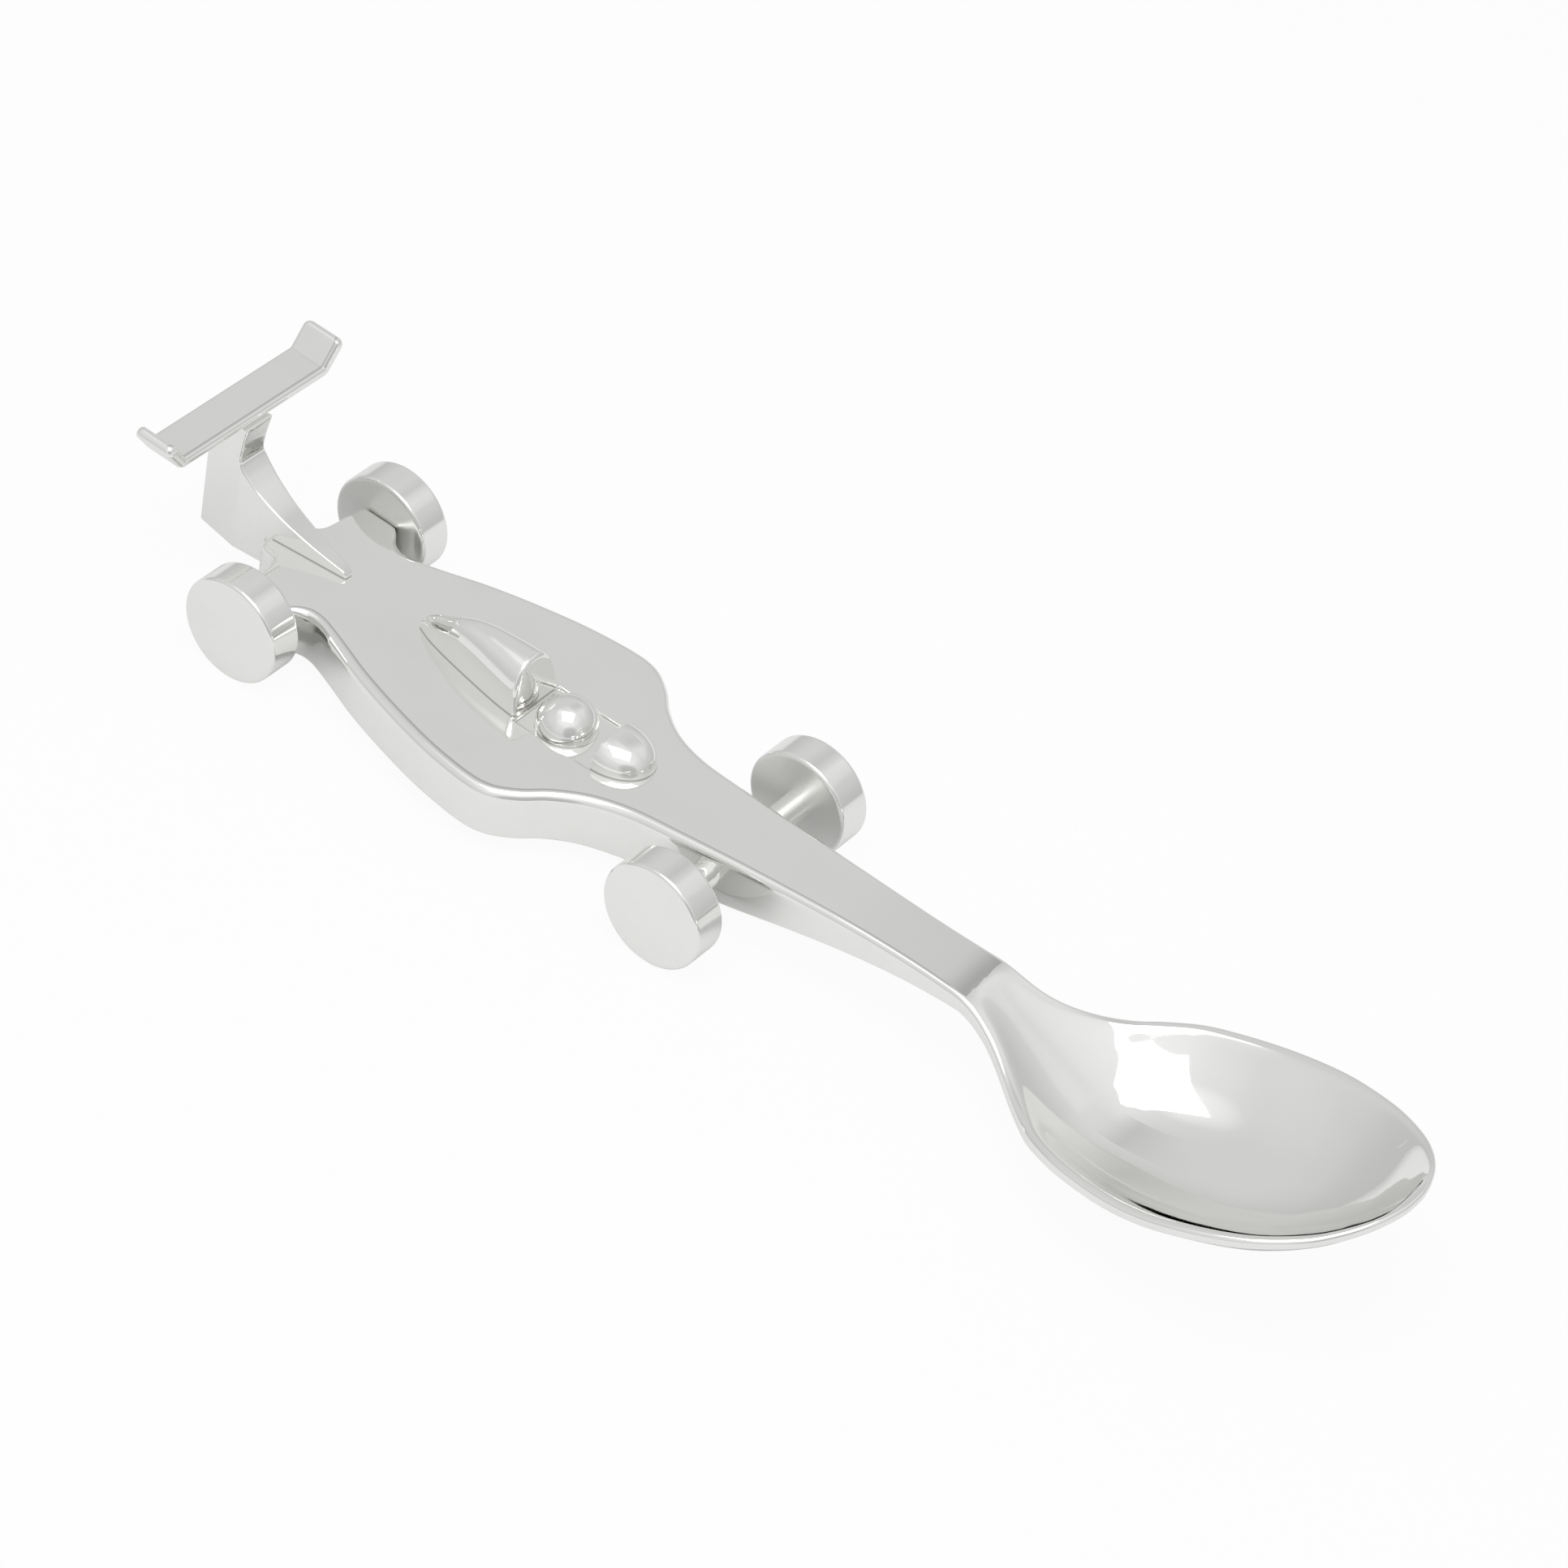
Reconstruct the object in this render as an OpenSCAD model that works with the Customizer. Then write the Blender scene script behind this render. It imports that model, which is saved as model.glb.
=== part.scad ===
// Baby spoon whose handle is a small racing car facing the bowl.
// Frame: millimetres, +X from tail to bowl tip, +Y the car's left, +Z up,
// the four wheels stand on Z = 0 and the part is centred on X = 0, Y = 0.
// Stations along the car count from the rear axle, towards the bowl.

/* [Wheels] */
// Wheel diameter
wheel_d = 11.22; // [10.4:0.02:12]
// Wheel width
wheel_w = 3.8; // [3:0.1:5]
// Rounding of the wheel's rims
wheel_edge_r = 0.4; // [0.2:0.05:0.8]
// Distance between the inner faces of a pair of wheels
wheel_gauge = 17.86; // [17:0.02:20]
// Distance from rear axle to front axle
wheelbase = 52; // [50:0.5:54]

/* [Axles] */
// Front axle diameter, seen between body and wheels
front_axle_d = 2.8; // [2:0.1:3.2]
// Rear axle diameter, hidden in the arms
rear_axle_d = 2; // [1.6:0.1:2.2]
// Depth the axle is pressed into a wheel
axle_press = 2.4; // [1.6:0.1:2.8]
// Chamfer on the axle ends
axle_chamfer = 0.2; // [0.1:0.05:0.4]
// Radial running clearance of an axle in its bore
run_clear = 0.05; // [0.02:0.01:0.1]

/* [Car body] */
// Length of the tail behind the rear axle
tail_reach = 5.4; // [5:0.1:6]
// Half width of the tail
tail_half_w = 3; // [2.6:0.1:3.2]
// Half length of the arms that carry the rear axle
arm_half_len = 2.4; // [2.2:0.1:2.6]
// Gap between an arm's end and its wheel
arm_gap = 0.18; // [0.1:0.02:0.3]
// Half width of the deck at its widest
deck_half_w = 12.95; // [12:0.05:14]
// Height of the deck above the axles
deck_rise = 1.71; // [1.65:0.01:1.9]
// Drop of the flat underside below the axles
under_drop = 3.74; // [3.5:0.01:3.9]
// Rounding along the top edge of the deck
deck_edge_r = 0.8; // [0.5:0.05:1]
// Rounding along the bottom edge
under_edge_r = 0.3; // [0.1:0.05:0.4]

/* [Neck and bowl] */
// Length from the front axle to the bend of the neck
neck_past = 28.3; // [27:0.1:30]
// Half width of the neck at its narrowest
neck_half_w = 3.42; // [3:0.02:4]
// Height of the neck above the axles
neck_rise = 4.21; // [4:0.01:4.4]
// Thickness of the neck at its bend
neck_t = 1.75; // [1.4:0.05:2]
// Length of the bowl from the neck's bend to the tip
bowl_len = 46.6; // [44:0.1:50]
// Half width of the bowl
bowl_half_w = 13.9; // [13:0.1:15]
// Height of the bowl's tip above the axles
tip_rise = 11.79; // [11.2:0.01:12.4]
// Thickness of the bowl's rim
rim_t = 1.2; // [1:0.05:1.4]
// Rounding of the bowl's rim
rim_r = 0.55; // [0.3:0.05:0.6]
// Width of the lip between the bowl's outline and its hollow
rim_lip = 0.9; // [0.7:0.05:1.1]
// Wall thickness at the bottom of the bowl
bowl_wall = 1.2; // [1:0.05:1.4]

/* [Cockpit] */
// Half width of the cockpit slot
slot_half_w = 3.4; // [3.2:0.05:3.6]
// Depth of the slot below the deck
slot_depth = 0.33; // [0.25:0.01:0.45]
// Helmet diameter
helmet_d = 6.2; // [5.8:0.1:6.4]
// Helmet station
helmet_x = 31.1; // [30.9:0.1:31.6]
// Diameter of the pin below the helmet
pin_d = 1.4; // [1:0.1:1.8]
// Length of the pin
pin_len = 1; // [0.6:0.1:1.2]
// Station of the fairing's front face
fairing_front_x = 27.3; // [27:0.1:27.6]
// Fairing length
fairing_len = 14.3; // [13:0.1:15]
// Fairing half width
fairing_half_w = 3.2; // [3:0.02:3.3]
// Fairing height above the deck
fairing_h = 5.2; // [4.8:0.05:5.8]
// Lean of the fairing's front face, in degrees
fairing_rake = 10; // [4:0.5:12]
// Station of the cowl's rear face
cowl_rear_x = 36.6; // [36:0.1:37]
// Cowl length
cowl_len = 4.7; // [4.4:0.1:5.2]
// Cowl half width
cowl_half_w = 3.36; // [3.2:0.02:3.6]
// Cowl height above the deck
cowl_h = 2.85; // [2.4:0.05:3.2]
// Depth of the seats of fairing and cowl below the deck
seat_depth = 0.9; // [0.6:0.05:1.2]
// Clearance around a seated piece
seat_clear = 0.03; // [0.01:0.01:0.08]

/* [Fin and wing] */
// Station of the fin's nose
fin_nose_x = 3.75; // [3.4:0.05:4]
// Half thickness of the fin at its nose
fin_nose_half = 0.5; // [0.4:0.05:0.7]
// Distance of the fin's thickest line behind the rear axle
fin_mid_reach = 9.2; // [8.8:0.1:9.6]
// Half thickness of the fin at its thickest line
fin_mid_half = 1.85; // [1.5:0.05:2]
// Half thickness of the fin at its rear edge
fin_rear_half = 1.1; // [0.8:0.05:1.4]
// Drop of the fin's lower edge below the axles
fin_drop = 1.9; // [1.4:0.02:2]
// Bevel of the fin's lower rear corner
fin_bevel = 0.15; // [0.1:0.05:0.5]
// Depth of the fin's seat below the deck
fin_seat = 0.3; // [0.2:0.02:0.36]
// Depth of the fin's tenon below the deck
tenon_depth = 2.3; // [1.8:0.1:2.8]
// Distance of the tenon's front behind the rear axle
tenon_reach = 2.9; // [2.6:0.1:3.2]
// Length from the rear axle to the wing's trailing edge
wing_reach = 14.1; // [13.5:0.1:15]
// Wing chord
wing_chord = 4.6; // [4:0.1:4.8]
// Wing thickness
wing_t = 1.2; // [0.9:0.05:1.4]
// Height of the wing's top above the axles
wing_rise = 13.81; // [13.4:0.01:14.4]
// Half span of the flat of the wing
wing_half = 9.75; // [9:0.05:10.5]
// Rise of the turned-up wing ends
endplate_rise = 2.5; // [1.8:0.05:2.8]
// Outward lean of the turned-up wing ends
endplate_out = 1.9; // [1.2:0.05:2.2]
// Corner rounding of the wing ends
endplate_r = 0.7; // [0.4:0.1:1.2]
// Diameter of the peg between fin and wing
peg_d = 1.4; // [1:0.1:1.8]
// Length of the peg
peg_len = 0.6; // [0.3:0.1:0.7]
// Distance of the peg from the wing's trailing edge
peg_inset = 2.9; // [2.4:0.1:3.4]

/* [Hidden] */
$fn = 72;

silver = [0.82, 0.82, 0.80];
silver_deep = [0.72, 0.72, 0.71];
overrun = 0.5;

axle_z = wheel_d / 2;
deck_z = axle_z + deck_rise;
under_z = axle_z - under_drop;
neck_z = axle_z + neck_rise;
tip_z = axle_z + tip_rise;
seat_z = deck_z - seat_depth;
slot_z = deck_z - slot_depth;
fin_seat_z = deck_z - fin_seat;
tenon_z = deck_z - tenon_depth;
fin_under_z = axle_z - fin_drop;
wing_top_z = axle_z + wing_rise;
wing_under_z = wing_top_z - wing_t;
wing_front_x = wing_chord - wing_reach;
arm_reach = wheel_gauge / 2 - arm_gap;
neck_reach = wheelbase + neck_past;
tip_reach = neck_reach + bowl_len;
rear_x = (wing_reach - tip_reach) / 2;
front_x = rear_x + wheelbase;

// Tail outline: shares of the tail's length and half width
tail_shares = [[1, 0.5], [0.98, 0.72], [0.935, 0.87], [0.84, 0.965], [0.7, 1.02], [0.575, 1.1]];
// Arm outline: shares of the arm's half length and reach
arm_shares = [
    [-1.12, 0.445], [-1.04, 0.57], [-0.99, 0.73], [-0.94, 0.89], [-0.86, 0.965], [-0.6, 0.997],
    [0, 1], [0.7, 0.997], [0.97, 0.96], [1.17, 0.9]];
// Deck outline: shares of the wheelbase and of the deck's half width
deck_shares = [
    [0.065, 0.571], [0.081, 0.544], [0.1, 0.537], [0.125, 0.556], [0.177, 0.63], [0.25, 0.741], [0.327, 0.834],
    [0.404, 0.911], [0.462, 0.958], [0.519, 0.988], [0.562, 1], [0.596, 0.992], [0.629, 0.946], [0.667, 0.834],
    [0.704, 0.683], [0.76, 0.533], [0.833, 0.436]];
// Neck outline: shares of the neck's reach and half width
neck_shares = [[0.6, 1.477], [0.672, 1.316], [0.756, 1.17], [0.839, 1.053], [0.909, 1], [0.971, 1.009]];
// Bowl outline: shares of the bowl's length and half width
bowl_shares = [
    [0.026, 0.263], [0.079, 0.302], [0.122, 0.367], [0.165, 0.457], [0.208, 0.558], [0.251, 0.662],
    [0.294, 0.763], [0.358, 0.867], [0.423, 0.932], [0.509, 0.986], [0.594, 1], [0.68, 0.968], [0.766, 0.892],
    [0.83, 0.802], [0.895, 0.665], [0.938, 0.526], [0.968, 0.385], [0.987, 0.245], [0.998, 0.108], [1, 0.03]];
// Rise of the deck to the neck: shares of the neck's reach and of the rise
ramp_shares = [
    [-0.1, 0], [0.2, 0], [0.374, 0], [0.456, 0.07], [0.536, 0.21], [0.623, 0.416], [0.697, 0.61], [0.767, 0.77],
    [0.834, 0.89], [0.909, 0.97], [0.971, 1.01], [1, 1]];
// Rise of the underside to the neck: shares of the neck's reach and of the rise
under_shares = [
    [-0.1, 0], [0.3, 0], [0.5, 0], [0.548, 0.035], [0.623, 0.12], [0.685, 0.24], [0.767, 0.49], [0.834, 0.675],
    [0.909, 0.85], [0.971, 0.96], [1, 1]];
// Rim of the bowl: shares of its length and of the tip's height
rim_shares = [
    [0.036, 0.54], [0.079, 0.494], [0.122, 0.449], [0.165, 0.415], [0.208, 0.397], [0.251, 0.399], [0.294, 0.422],
    [0.358, 0.468], [0.423, 0.505], [0.509, 0.554], [0.594, 0.611], [0.68, 0.68], [0.766, 0.748], [0.83, 0.805],
    [0.895, 0.869], [0.938, 0.922], [0.968, 0.961], [1, 1]];
// Middle of the bowl's inside: shares of its length and of the tip's height
floor_shares = [
    [0.036, 0.505], [0.079, 0.44], [0.122, 0.374], [0.165, 0.312], [0.208, 0.255], [0.251, 0.205], [0.294, 0.163],
    [0.358, 0.125], [0.423, 0.125], [0.509, 0.155], [0.594, 0.2], [0.68, 0.265], [0.766, 0.37], [0.83, 0.484],
    [0.895, 0.636], [0.938, 0.767], [0.968, 0.87], [1, 1]];
// Thinning from neck to rim: shares of the bowl's length and of the difference
thin_shares = [[0, 1], [0.079, 0.62], [0.165, 0.25], [0.251, 0], [0.6, 0], [1, 0]];
// Fairing: shares of its length, half width and height
fairing_shares = [
    [0, 0.1, 0.17], [0.042, 0.18, 0.33], [0.112, 0.305, 0.47], [0.224, 0.44, 0.625], [0.336, 0.55, 0.79],
    [0.462, 0.66, 0.915], [0.594, 0.765, 0.98], [0.727, 0.865, 1], [0.86, 0.945, 1.01], [1, 1, 1]];
// Front outline of the fin: shares of its length from nose to wing, and of its height from seat to wing
fin_shares = [
    [0, 0.065], [0.02, 0.091], [0.087, 0.113], [0.264, 0.162], [0.464, 0.233], [0.638, 0.312], [0.804, 0.42],
    [0.895, 0.5], [0.955, 0.57], [0.988, 0.645], [1, 0.755], [0.995, 0.88], [0.976, 1]];
// Cowl: shares of its length
cowl_shares = [0, 0.2, 0.4, 0.58, 0.74, 0.86, 0.94, 0.985];
// Points across the body, shares of its half width, and steps of the rounded edges in degrees
row_shares = [-1, -0.95, -0.84, -0.69, -0.52, -0.34, -0.17, 0, 0.17, 0.34, 0.52, 0.69, 0.84, 0.95, 1];
edge_angles = [30, 60, 90];
// Fullness of the arches and steps around them
arch_power_share = 0.9;
arch_steps = 18;
plan_steps = 2;

deck_plan = concat(
    [for (s = tail_shares) [-s[0] * tail_reach, s[1] * tail_half_w]],
    [for (s = arm_shares) [s[0] * arm_half_len, s[1] * arm_reach]],
    [for (s = deck_shares) [s[0] * wheelbase, s[1] * deck_half_w]],
    [for (s = neck_shares) [s[0] * neck_reach, s[1] * neck_half_w]],
    [for (s = bowl_shares) [neck_reach + s[0] * bowl_len, s[1] * bowl_half_w]]);
edge_line = concat(
    [for (s = ramp_shares) [s[0] * neck_reach, deck_z + s[1] * (neck_z - deck_z)]],
    [for (s = rim_shares) [neck_reach + s[0] * bowl_len, s[1] * tip_z]]);
floor_line = concat(
    [[neck_reach, neck_z]],
    [for (s = floor_shares) [neck_reach + s[0] * bowl_len, s[1] * tip_z]]);
under_line = [for (s = under_shares) [s[0] * neck_reach, under_z + s[1] * (neck_z - neck_t - under_z)]];
thin_line = [for (s = thin_shares) [neck_reach + s[0] * bowl_len, rim_t + s[1] * (neck_t - rim_t)]];

// Smooth curve through a table: segment, slope and value
function seg(t, x, i = 0) = (i >= len(t) - 2 || x < t[i + 1][0]) ? i : seg(t, x, i + 1);
function rise(t, i) = let (a = max(i - 1, 0), b = min(i + 1, len(t) - 1))
    (t[b][1] - t[a][1]) / (t[b][0] - t[a][0]);
function at(t, x) = let (
    i = seg(t, x),
    h = t[i + 1][0] - t[i][0],
    s = (x - t[i][0]) / h,
    q = s * s,
    k = q * s)
    (2 * k - 3 * q + 1) * t[i][1] + (k - 2 * q + s) * h * rise(t, i)
    + (3 * q - 2 * k) * t[i + 1][1] + (k - q) * h * rise(t, i + 1);
// Point on a smooth plan curve through a list of points
function bend(p, i, s) = let (
    a = p[max(i - 1, 0)],
    b = p[i],
    c = p[i + 1],
    d = p[min(i + 2, len(p) - 1)],
    q = s * s,
    k = q * s)
    (2 * b + (c - a) * s + (2 * a - 5 * b + 4 * c - d) * q + (3 * b - a - 3 * c + d) * k) / 2;
function plan_row() = concat(
    [for (i = [0 : len(deck_plan) - 2], s = [0 : plan_steps - 1]) bend(deck_plan, i, s / plan_steps)],
    [deck_plan[len(deck_plan) - 1]]);

// Cross section of the body at a station: upper chain from right to left, then lower chain back
function in_bowl(x) = x > neck_reach;
function edge_z(x) = at(edge_line, x);
function low_z(x) = in_bowl(x) ? edge_z(x) - at(thin_line, x) : at(under_line, x);
function dish(x) = in_bowl(x) ? max(edge_z(x) - at(floor_line, x), 0) : 0;
function belly(x) = let (d = dish(x))
    max(low_z(x) - (edge_z(x) - d - bowl_wall), 0) * min(d / bowl_wall, 1);
function last_first(v) = [for (i = [len(v) - 1 : -1 : 0]) v[i]];
function ring(x, w) = let (
    top = edge_z(x),
    low = low_z(x),
    r = min(in_bowl(x) ? rim_r : deck_edge_r, w / 2, (top - low) / 2),
    e = min(under_edge_r, w / 2, (top - low) / 3),
    inner = (w - r) / (w - min(rim_lip, w / 2)),
    d = dish(x),
    b = belly(x),
    cx = rear_x + x)
    concat(
        [for (a = last_first(edge_angles)) [cx, -(w - r + r * sin(a)), top - r + r * cos(a)]],
        [for (u = row_shares) [cx, u * (w - r), top - d * max(1 - pow(inner * u, 2), 0)]],
        [for (a = edge_angles) [cx, w - r + r * sin(a), top - r + r * cos(a)]],
        [for (a = last_first(edge_angles)) [cx, w - e + e * sin(a), low + e - e * cos(a)]],
        [for (u = row_shares) [cx, -u * (w - e), low - b * (1 - u * u)]],
        [for (a = edge_angles) [cx, -(w - e + e * sin(a)), low + e - e * cos(a)]]);

// Solid through a row of equal loops
module skin(rings) {
    n = len(rings[0]);
    m = len(rings);
    z = (m - 1) * n;
    half = floor((n - 3) / 2);
    polyhedron(
        points = [for (g = rings) each g],
        faces = concat(
            [for (j = [0 : half]) [j, n - 1 - j, j + 1]],
            [for (j = [0 : half]) if (j + 1 < n - 2 - j) [j + 1, n - 1 - j, n - 2 - j]],
            [for (j = [0 : half]) [z + j, z + j + 1, z + n - 1 - j]],
            [for (j = [0 : half]) if (j + 1 < n - 2 - j) [z + j + 1, z + n - 2 - j, z + n - 1 - j]],
            [for (i = [0 : m - 2], j = [0 : n - 1]) let (k = (j + 1) % n)
                [i * n + j, i * n + k, (i + 1) * n + j]],
            [for (i = [0 : m - 2], j = [0 : n - 1]) let (k = (j + 1) % n)
                [(i + 1) * n + j, i * n + k, (i + 1) * n + k]]));
}

// Arch standing on the deck, its foot reaching down to the seat
function arch(x, a, h, lean) = let (z = edge_z(x), cx = rear_x + x)
    concat(
        [[cx - lean * (seat_z - z), -a, seat_z]],
        [for (i = [0 : arch_steps]) let (
            t = 180 - 180 * i / arch_steps,
            c = cos(t),
            v = h * pow(max(sin(t), 0), arch_power_share),
            y = a * sign(c) * pow(abs(c), arch_power_share))
            [cx - lean * v, y, z + v]],
        [[cx - lean * (seat_z - z), a, seat_z]]);

function fairing_x(s) = fairing_front_x - (1 - s) * fairing_len;
module fairing_plan(gap) {
    n = len(fairing_shares);
    lean = tan(fairing_rake) * seat_depth;
    side = [for (i = [0 : n - 1]) let (s = fairing_shares[i])
        [rear_x + fairing_x(s[0]) + (i == 0 ? -gap : i == n - 1 ? gap + lean : 0), s[1] * fairing_half_w + gap]];
    polygon(concat(side, [for (p = last_first(side)) [p[0], -p[1]]]));
}
function cowl_x(s) = cowl_rear_x + s * cowl_len;
function cowl_half(s) = cowl_half_w * sqrt(1 - s * s);
module cowl_plan(gap) {
    side = concat(
        [[rear_x + cowl_rear_x - gap, cowl_half_w + gap]],
        [for (s = cowl_shares) [rear_x + cowl_x(s) + gap * (s + 1) / 2, cowl_half(s) + gap]]);
    polygon(concat(side, [for (p = last_first(side)) [p[0], -p[1]]]));
}
module fin_plan(gap) {
    side = [
        [rear_x - wing_reach, fin_rear_half + gap],
        [rear_x - fin_mid_reach, fin_mid_half + gap],
        [rear_x + fin_nose_x + gap, fin_nose_half + gap]];
    polygon(concat(side, [for (p = last_first(side)) [p[0], -p[1]]]));
}
module across(x, d, len) {
    translate([x, len / 2, axle_z]) rotate([90, 0, 0]) cylinder(h = len, d = d);
}

module spoon_body() {
    tail_x = rear_x - tail_reach;
    color(silver) difference() {
        skin([for (p = plan_row()) ring(p[0], p[1])]);
        across(rear_x, rear_axle_d + 2 * run_clear, wheel_gauge + 2 * overrun);
        across(front_x, front_axle_d + 2 * run_clear, wheel_gauge + 2 * overrun);
        translate([rear_x + fairing_front_x, -slot_half_w, slot_z])
            cube([cowl_rear_x - fairing_front_x, 2 * slot_half_w, slot_depth + fairing_h]);
        translate([rear_x + helmet_x, 0, slot_z - pin_len - seat_clear])
            cylinder(h = pin_len + seat_clear + overrun, d = pin_d + 2 * seat_clear);
        translate([0, 0, seat_z]) linear_extrude(height = seat_depth + fairing_h) fairing_plan(seat_clear);
        translate([0, 0, seat_z]) linear_extrude(height = seat_depth + fairing_h) cowl_plan(seat_clear);
        translate([0, 0, fin_seat_z]) linear_extrude(height = fin_seat + fairing_h) fin_plan(seat_clear);
        intersection() {
            translate([0, 0, tenon_z]) linear_extrude(height = tenon_depth + fairing_h) fin_plan(seat_clear);
            translate([tail_x - overrun, -slot_half_w, tenon_z])
                cube([tail_reach - tenon_reach + overrun + seat_clear, 2 * slot_half_w, tenon_depth + fairing_h]);
        }
    }
}

module headrest_fairing() {
    lean = tan(fairing_rake);
    color(silver) skin([for (s = fairing_shares)
        arch(fairing_x(s[0]), s[1] * fairing_half_w, s[2] * fairing_h, lean * s[0])]);
}

module driver_helmet() {
    color(silver_deep) translate([rear_x + helmet_x, 0, slot_z]) union() {
        intersection() {
            sphere(d = helmet_d);
            cylinder(h = helmet_d, d = 2 * helmet_d);
        }
        translate([0, 0, -pin_len]) cylinder(h = pin_len + overrun, d = pin_d);
    }
}

module cockpit_cowl() {
    color(silver) skin([for (s = cowl_shares) arch(cowl_x(s), cowl_half(s), cowl_h * sqrt(1 - s * s), 0)]);
}

module wing_pylon() {
    back_x = rear_x - wing_reach;
    step_x = rear_x - tail_reach - seat_clear;
    fin_len = fin_nose_x - wing_front_x;
    fin_h = wing_under_z - fin_seat_z;
    color(silver) union() {
        intersection() {
            translate([0, wing_half, 0]) rotate([90, 0, 0]) linear_extrude(height = 2 * wing_half)
                polygon(concat(
                    [[back_x, wing_under_z]],
                    [for (s = last_first(fin_shares))
                        [rear_x + fin_nose_x - s[0] * fin_len, fin_seat_z + s[1] * fin_h]],
                    [[rear_x + fin_nose_x, fin_seat_z], [rear_x - tenon_reach, fin_seat_z],
                     [rear_x - tenon_reach, tenon_z], [step_x, tenon_z], [step_x, fin_under_z],
                     [back_x + fin_bevel, fin_under_z], [back_x, fin_under_z + fin_bevel]]));
            linear_extrude(height = wing_top_z) fin_plan(0);
        }
        translate([back_x + peg_inset, 0, wing_under_z - overrun]) cylinder(h = peg_len + overrun, d = peg_d);
    }
}

module rear_wing() {
    lean = atan2(endplate_rise, endplate_out);
    dy = wing_t * sin(lean);
    dz = wing_t * cos(lean);
    foot = wing_half + wing_t * tan(lean / 2);
    reach = wing_half + 2 * wing_chord;
    top = wing_top_z + endplate_rise;
    color(silver) difference() {
        intersection() {
            translate([rear_x - wing_reach, 0, 0]) rotate([90, 0, 90]) linear_extrude(height = wing_chord)
                polygon([
                    [-wing_half, wing_top_z], [wing_half, wing_top_z],
                    [wing_half + endplate_out, top], [wing_half + endplate_out + dy, top - dz],
                    [foot, wing_under_z], [-foot, wing_under_z],
                    [-wing_half - endplate_out - dy, top - dz], [-wing_half - endplate_out, top]]);
            translate([rear_x - wing_reach, reach, 0]) rotate([90, 0, 0]) linear_extrude(height = 2 * reach) union() {
                square([wing_chord, top - endplate_r]);
                translate([endplate_r, 0]) square([wing_chord - 2 * endplate_r, top]);
                translate([endplate_r, top - endplate_r]) circle(r = endplate_r);
                translate([wing_chord - endplate_r, top - endplate_r]) circle(r = endplate_r);
            }
        }
        translate([rear_x - wing_reach + peg_inset, 0, wing_under_z - overrun])
            cylinder(h = peg_len + seat_clear + overrun, d = peg_d + 2 * seat_clear);
    }
}

module axle(x, d) {
    len = wheel_gauge + 2 * axle_press;
    color(silver_deep) translate([x, len / 2, axle_z]) rotate([90, 0, 0]) union() {
        cylinder(h = axle_chamfer, d1 = d - 2 * axle_chamfer, d2 = d);
        translate([0, 0, axle_chamfer]) cylinder(h = len - 2 * axle_chamfer, d = d);
        translate([0, 0, len - axle_chamfer]) cylinder(h = axle_chamfer, d1 = d, d2 = d - 2 * axle_chamfer);
    }
}
module front_axle() {
    axle(front_x, front_axle_d);
}
module rear_axle() {
    axle(rear_x, rear_axle_d);
}

// Wheel lying on its inner face, blind bore upwards from that face
module wheel_blank(d) {
    rim = axle_z - wheel_edge_r;
    difference() {
        rotate_extrude() union() {
            square([rim, wheel_w]);
            translate([0, wheel_edge_r]) square([axle_z, wheel_w - 2 * wheel_edge_r]);
            translate([rim, wheel_edge_r]) circle(r = wheel_edge_r);
            translate([rim, wheel_w - wheel_edge_r]) circle(r = wheel_edge_r);
        }
        translate([0, 0, -overrun]) cylinder(h = axle_press + overrun, d = d);
    }
}
module wheel(x, side, d) {
    color(silver) translate([x, side * wheel_gauge / 2, axle_z]) rotate([-90 * side, 0, 0]) wheel_blank(d);
}
module front_right_wheel() {
    wheel(front_x, -1, front_axle_d);
}
module front_left_wheel() {
    wheel(front_x, 1, front_axle_d);
}
module rear_right_wheel() {
    wheel(rear_x, -1, rear_axle_d);
}
module rear_left_wheel() {
    wheel(rear_x, 1, rear_axle_d);
}

spoon_body();
headrest_fairing();
driver_helmet();
cockpit_cowl();
wing_pylon();
rear_wing();
front_axle();
rear_axle();
front_right_wheel();
front_left_wheel();
rear_right_wheel();
rear_left_wheel();
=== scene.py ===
"""Baby spoon whose handle is a small racing car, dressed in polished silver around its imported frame."""

import math
from types import SimpleNamespace

import bmesh
import bpy
import numpy as np
from mathutils import Matrix, Vector


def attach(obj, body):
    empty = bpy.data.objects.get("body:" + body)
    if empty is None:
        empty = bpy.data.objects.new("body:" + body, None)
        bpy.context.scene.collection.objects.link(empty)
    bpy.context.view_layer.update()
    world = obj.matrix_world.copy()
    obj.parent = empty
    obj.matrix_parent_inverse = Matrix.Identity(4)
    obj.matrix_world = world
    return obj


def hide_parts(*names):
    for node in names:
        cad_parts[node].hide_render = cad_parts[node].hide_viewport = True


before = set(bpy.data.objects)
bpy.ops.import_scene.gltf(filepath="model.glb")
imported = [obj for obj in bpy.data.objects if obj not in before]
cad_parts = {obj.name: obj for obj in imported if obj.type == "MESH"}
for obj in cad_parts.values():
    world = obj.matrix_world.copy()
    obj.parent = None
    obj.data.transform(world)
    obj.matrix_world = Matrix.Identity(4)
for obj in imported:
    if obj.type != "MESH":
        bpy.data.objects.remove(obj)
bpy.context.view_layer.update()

bl_info = {
    "name": "Racing-car baby spoon",
    "version": (1, 0, 0),
    "blender": (4, 5, 0),
    "location": "3D View > Sidebar > Spoon",
    "description": "Builds a polished baby spoon with a racing-car handle around its frame",
    "category": "Add Mesh",
}

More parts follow.
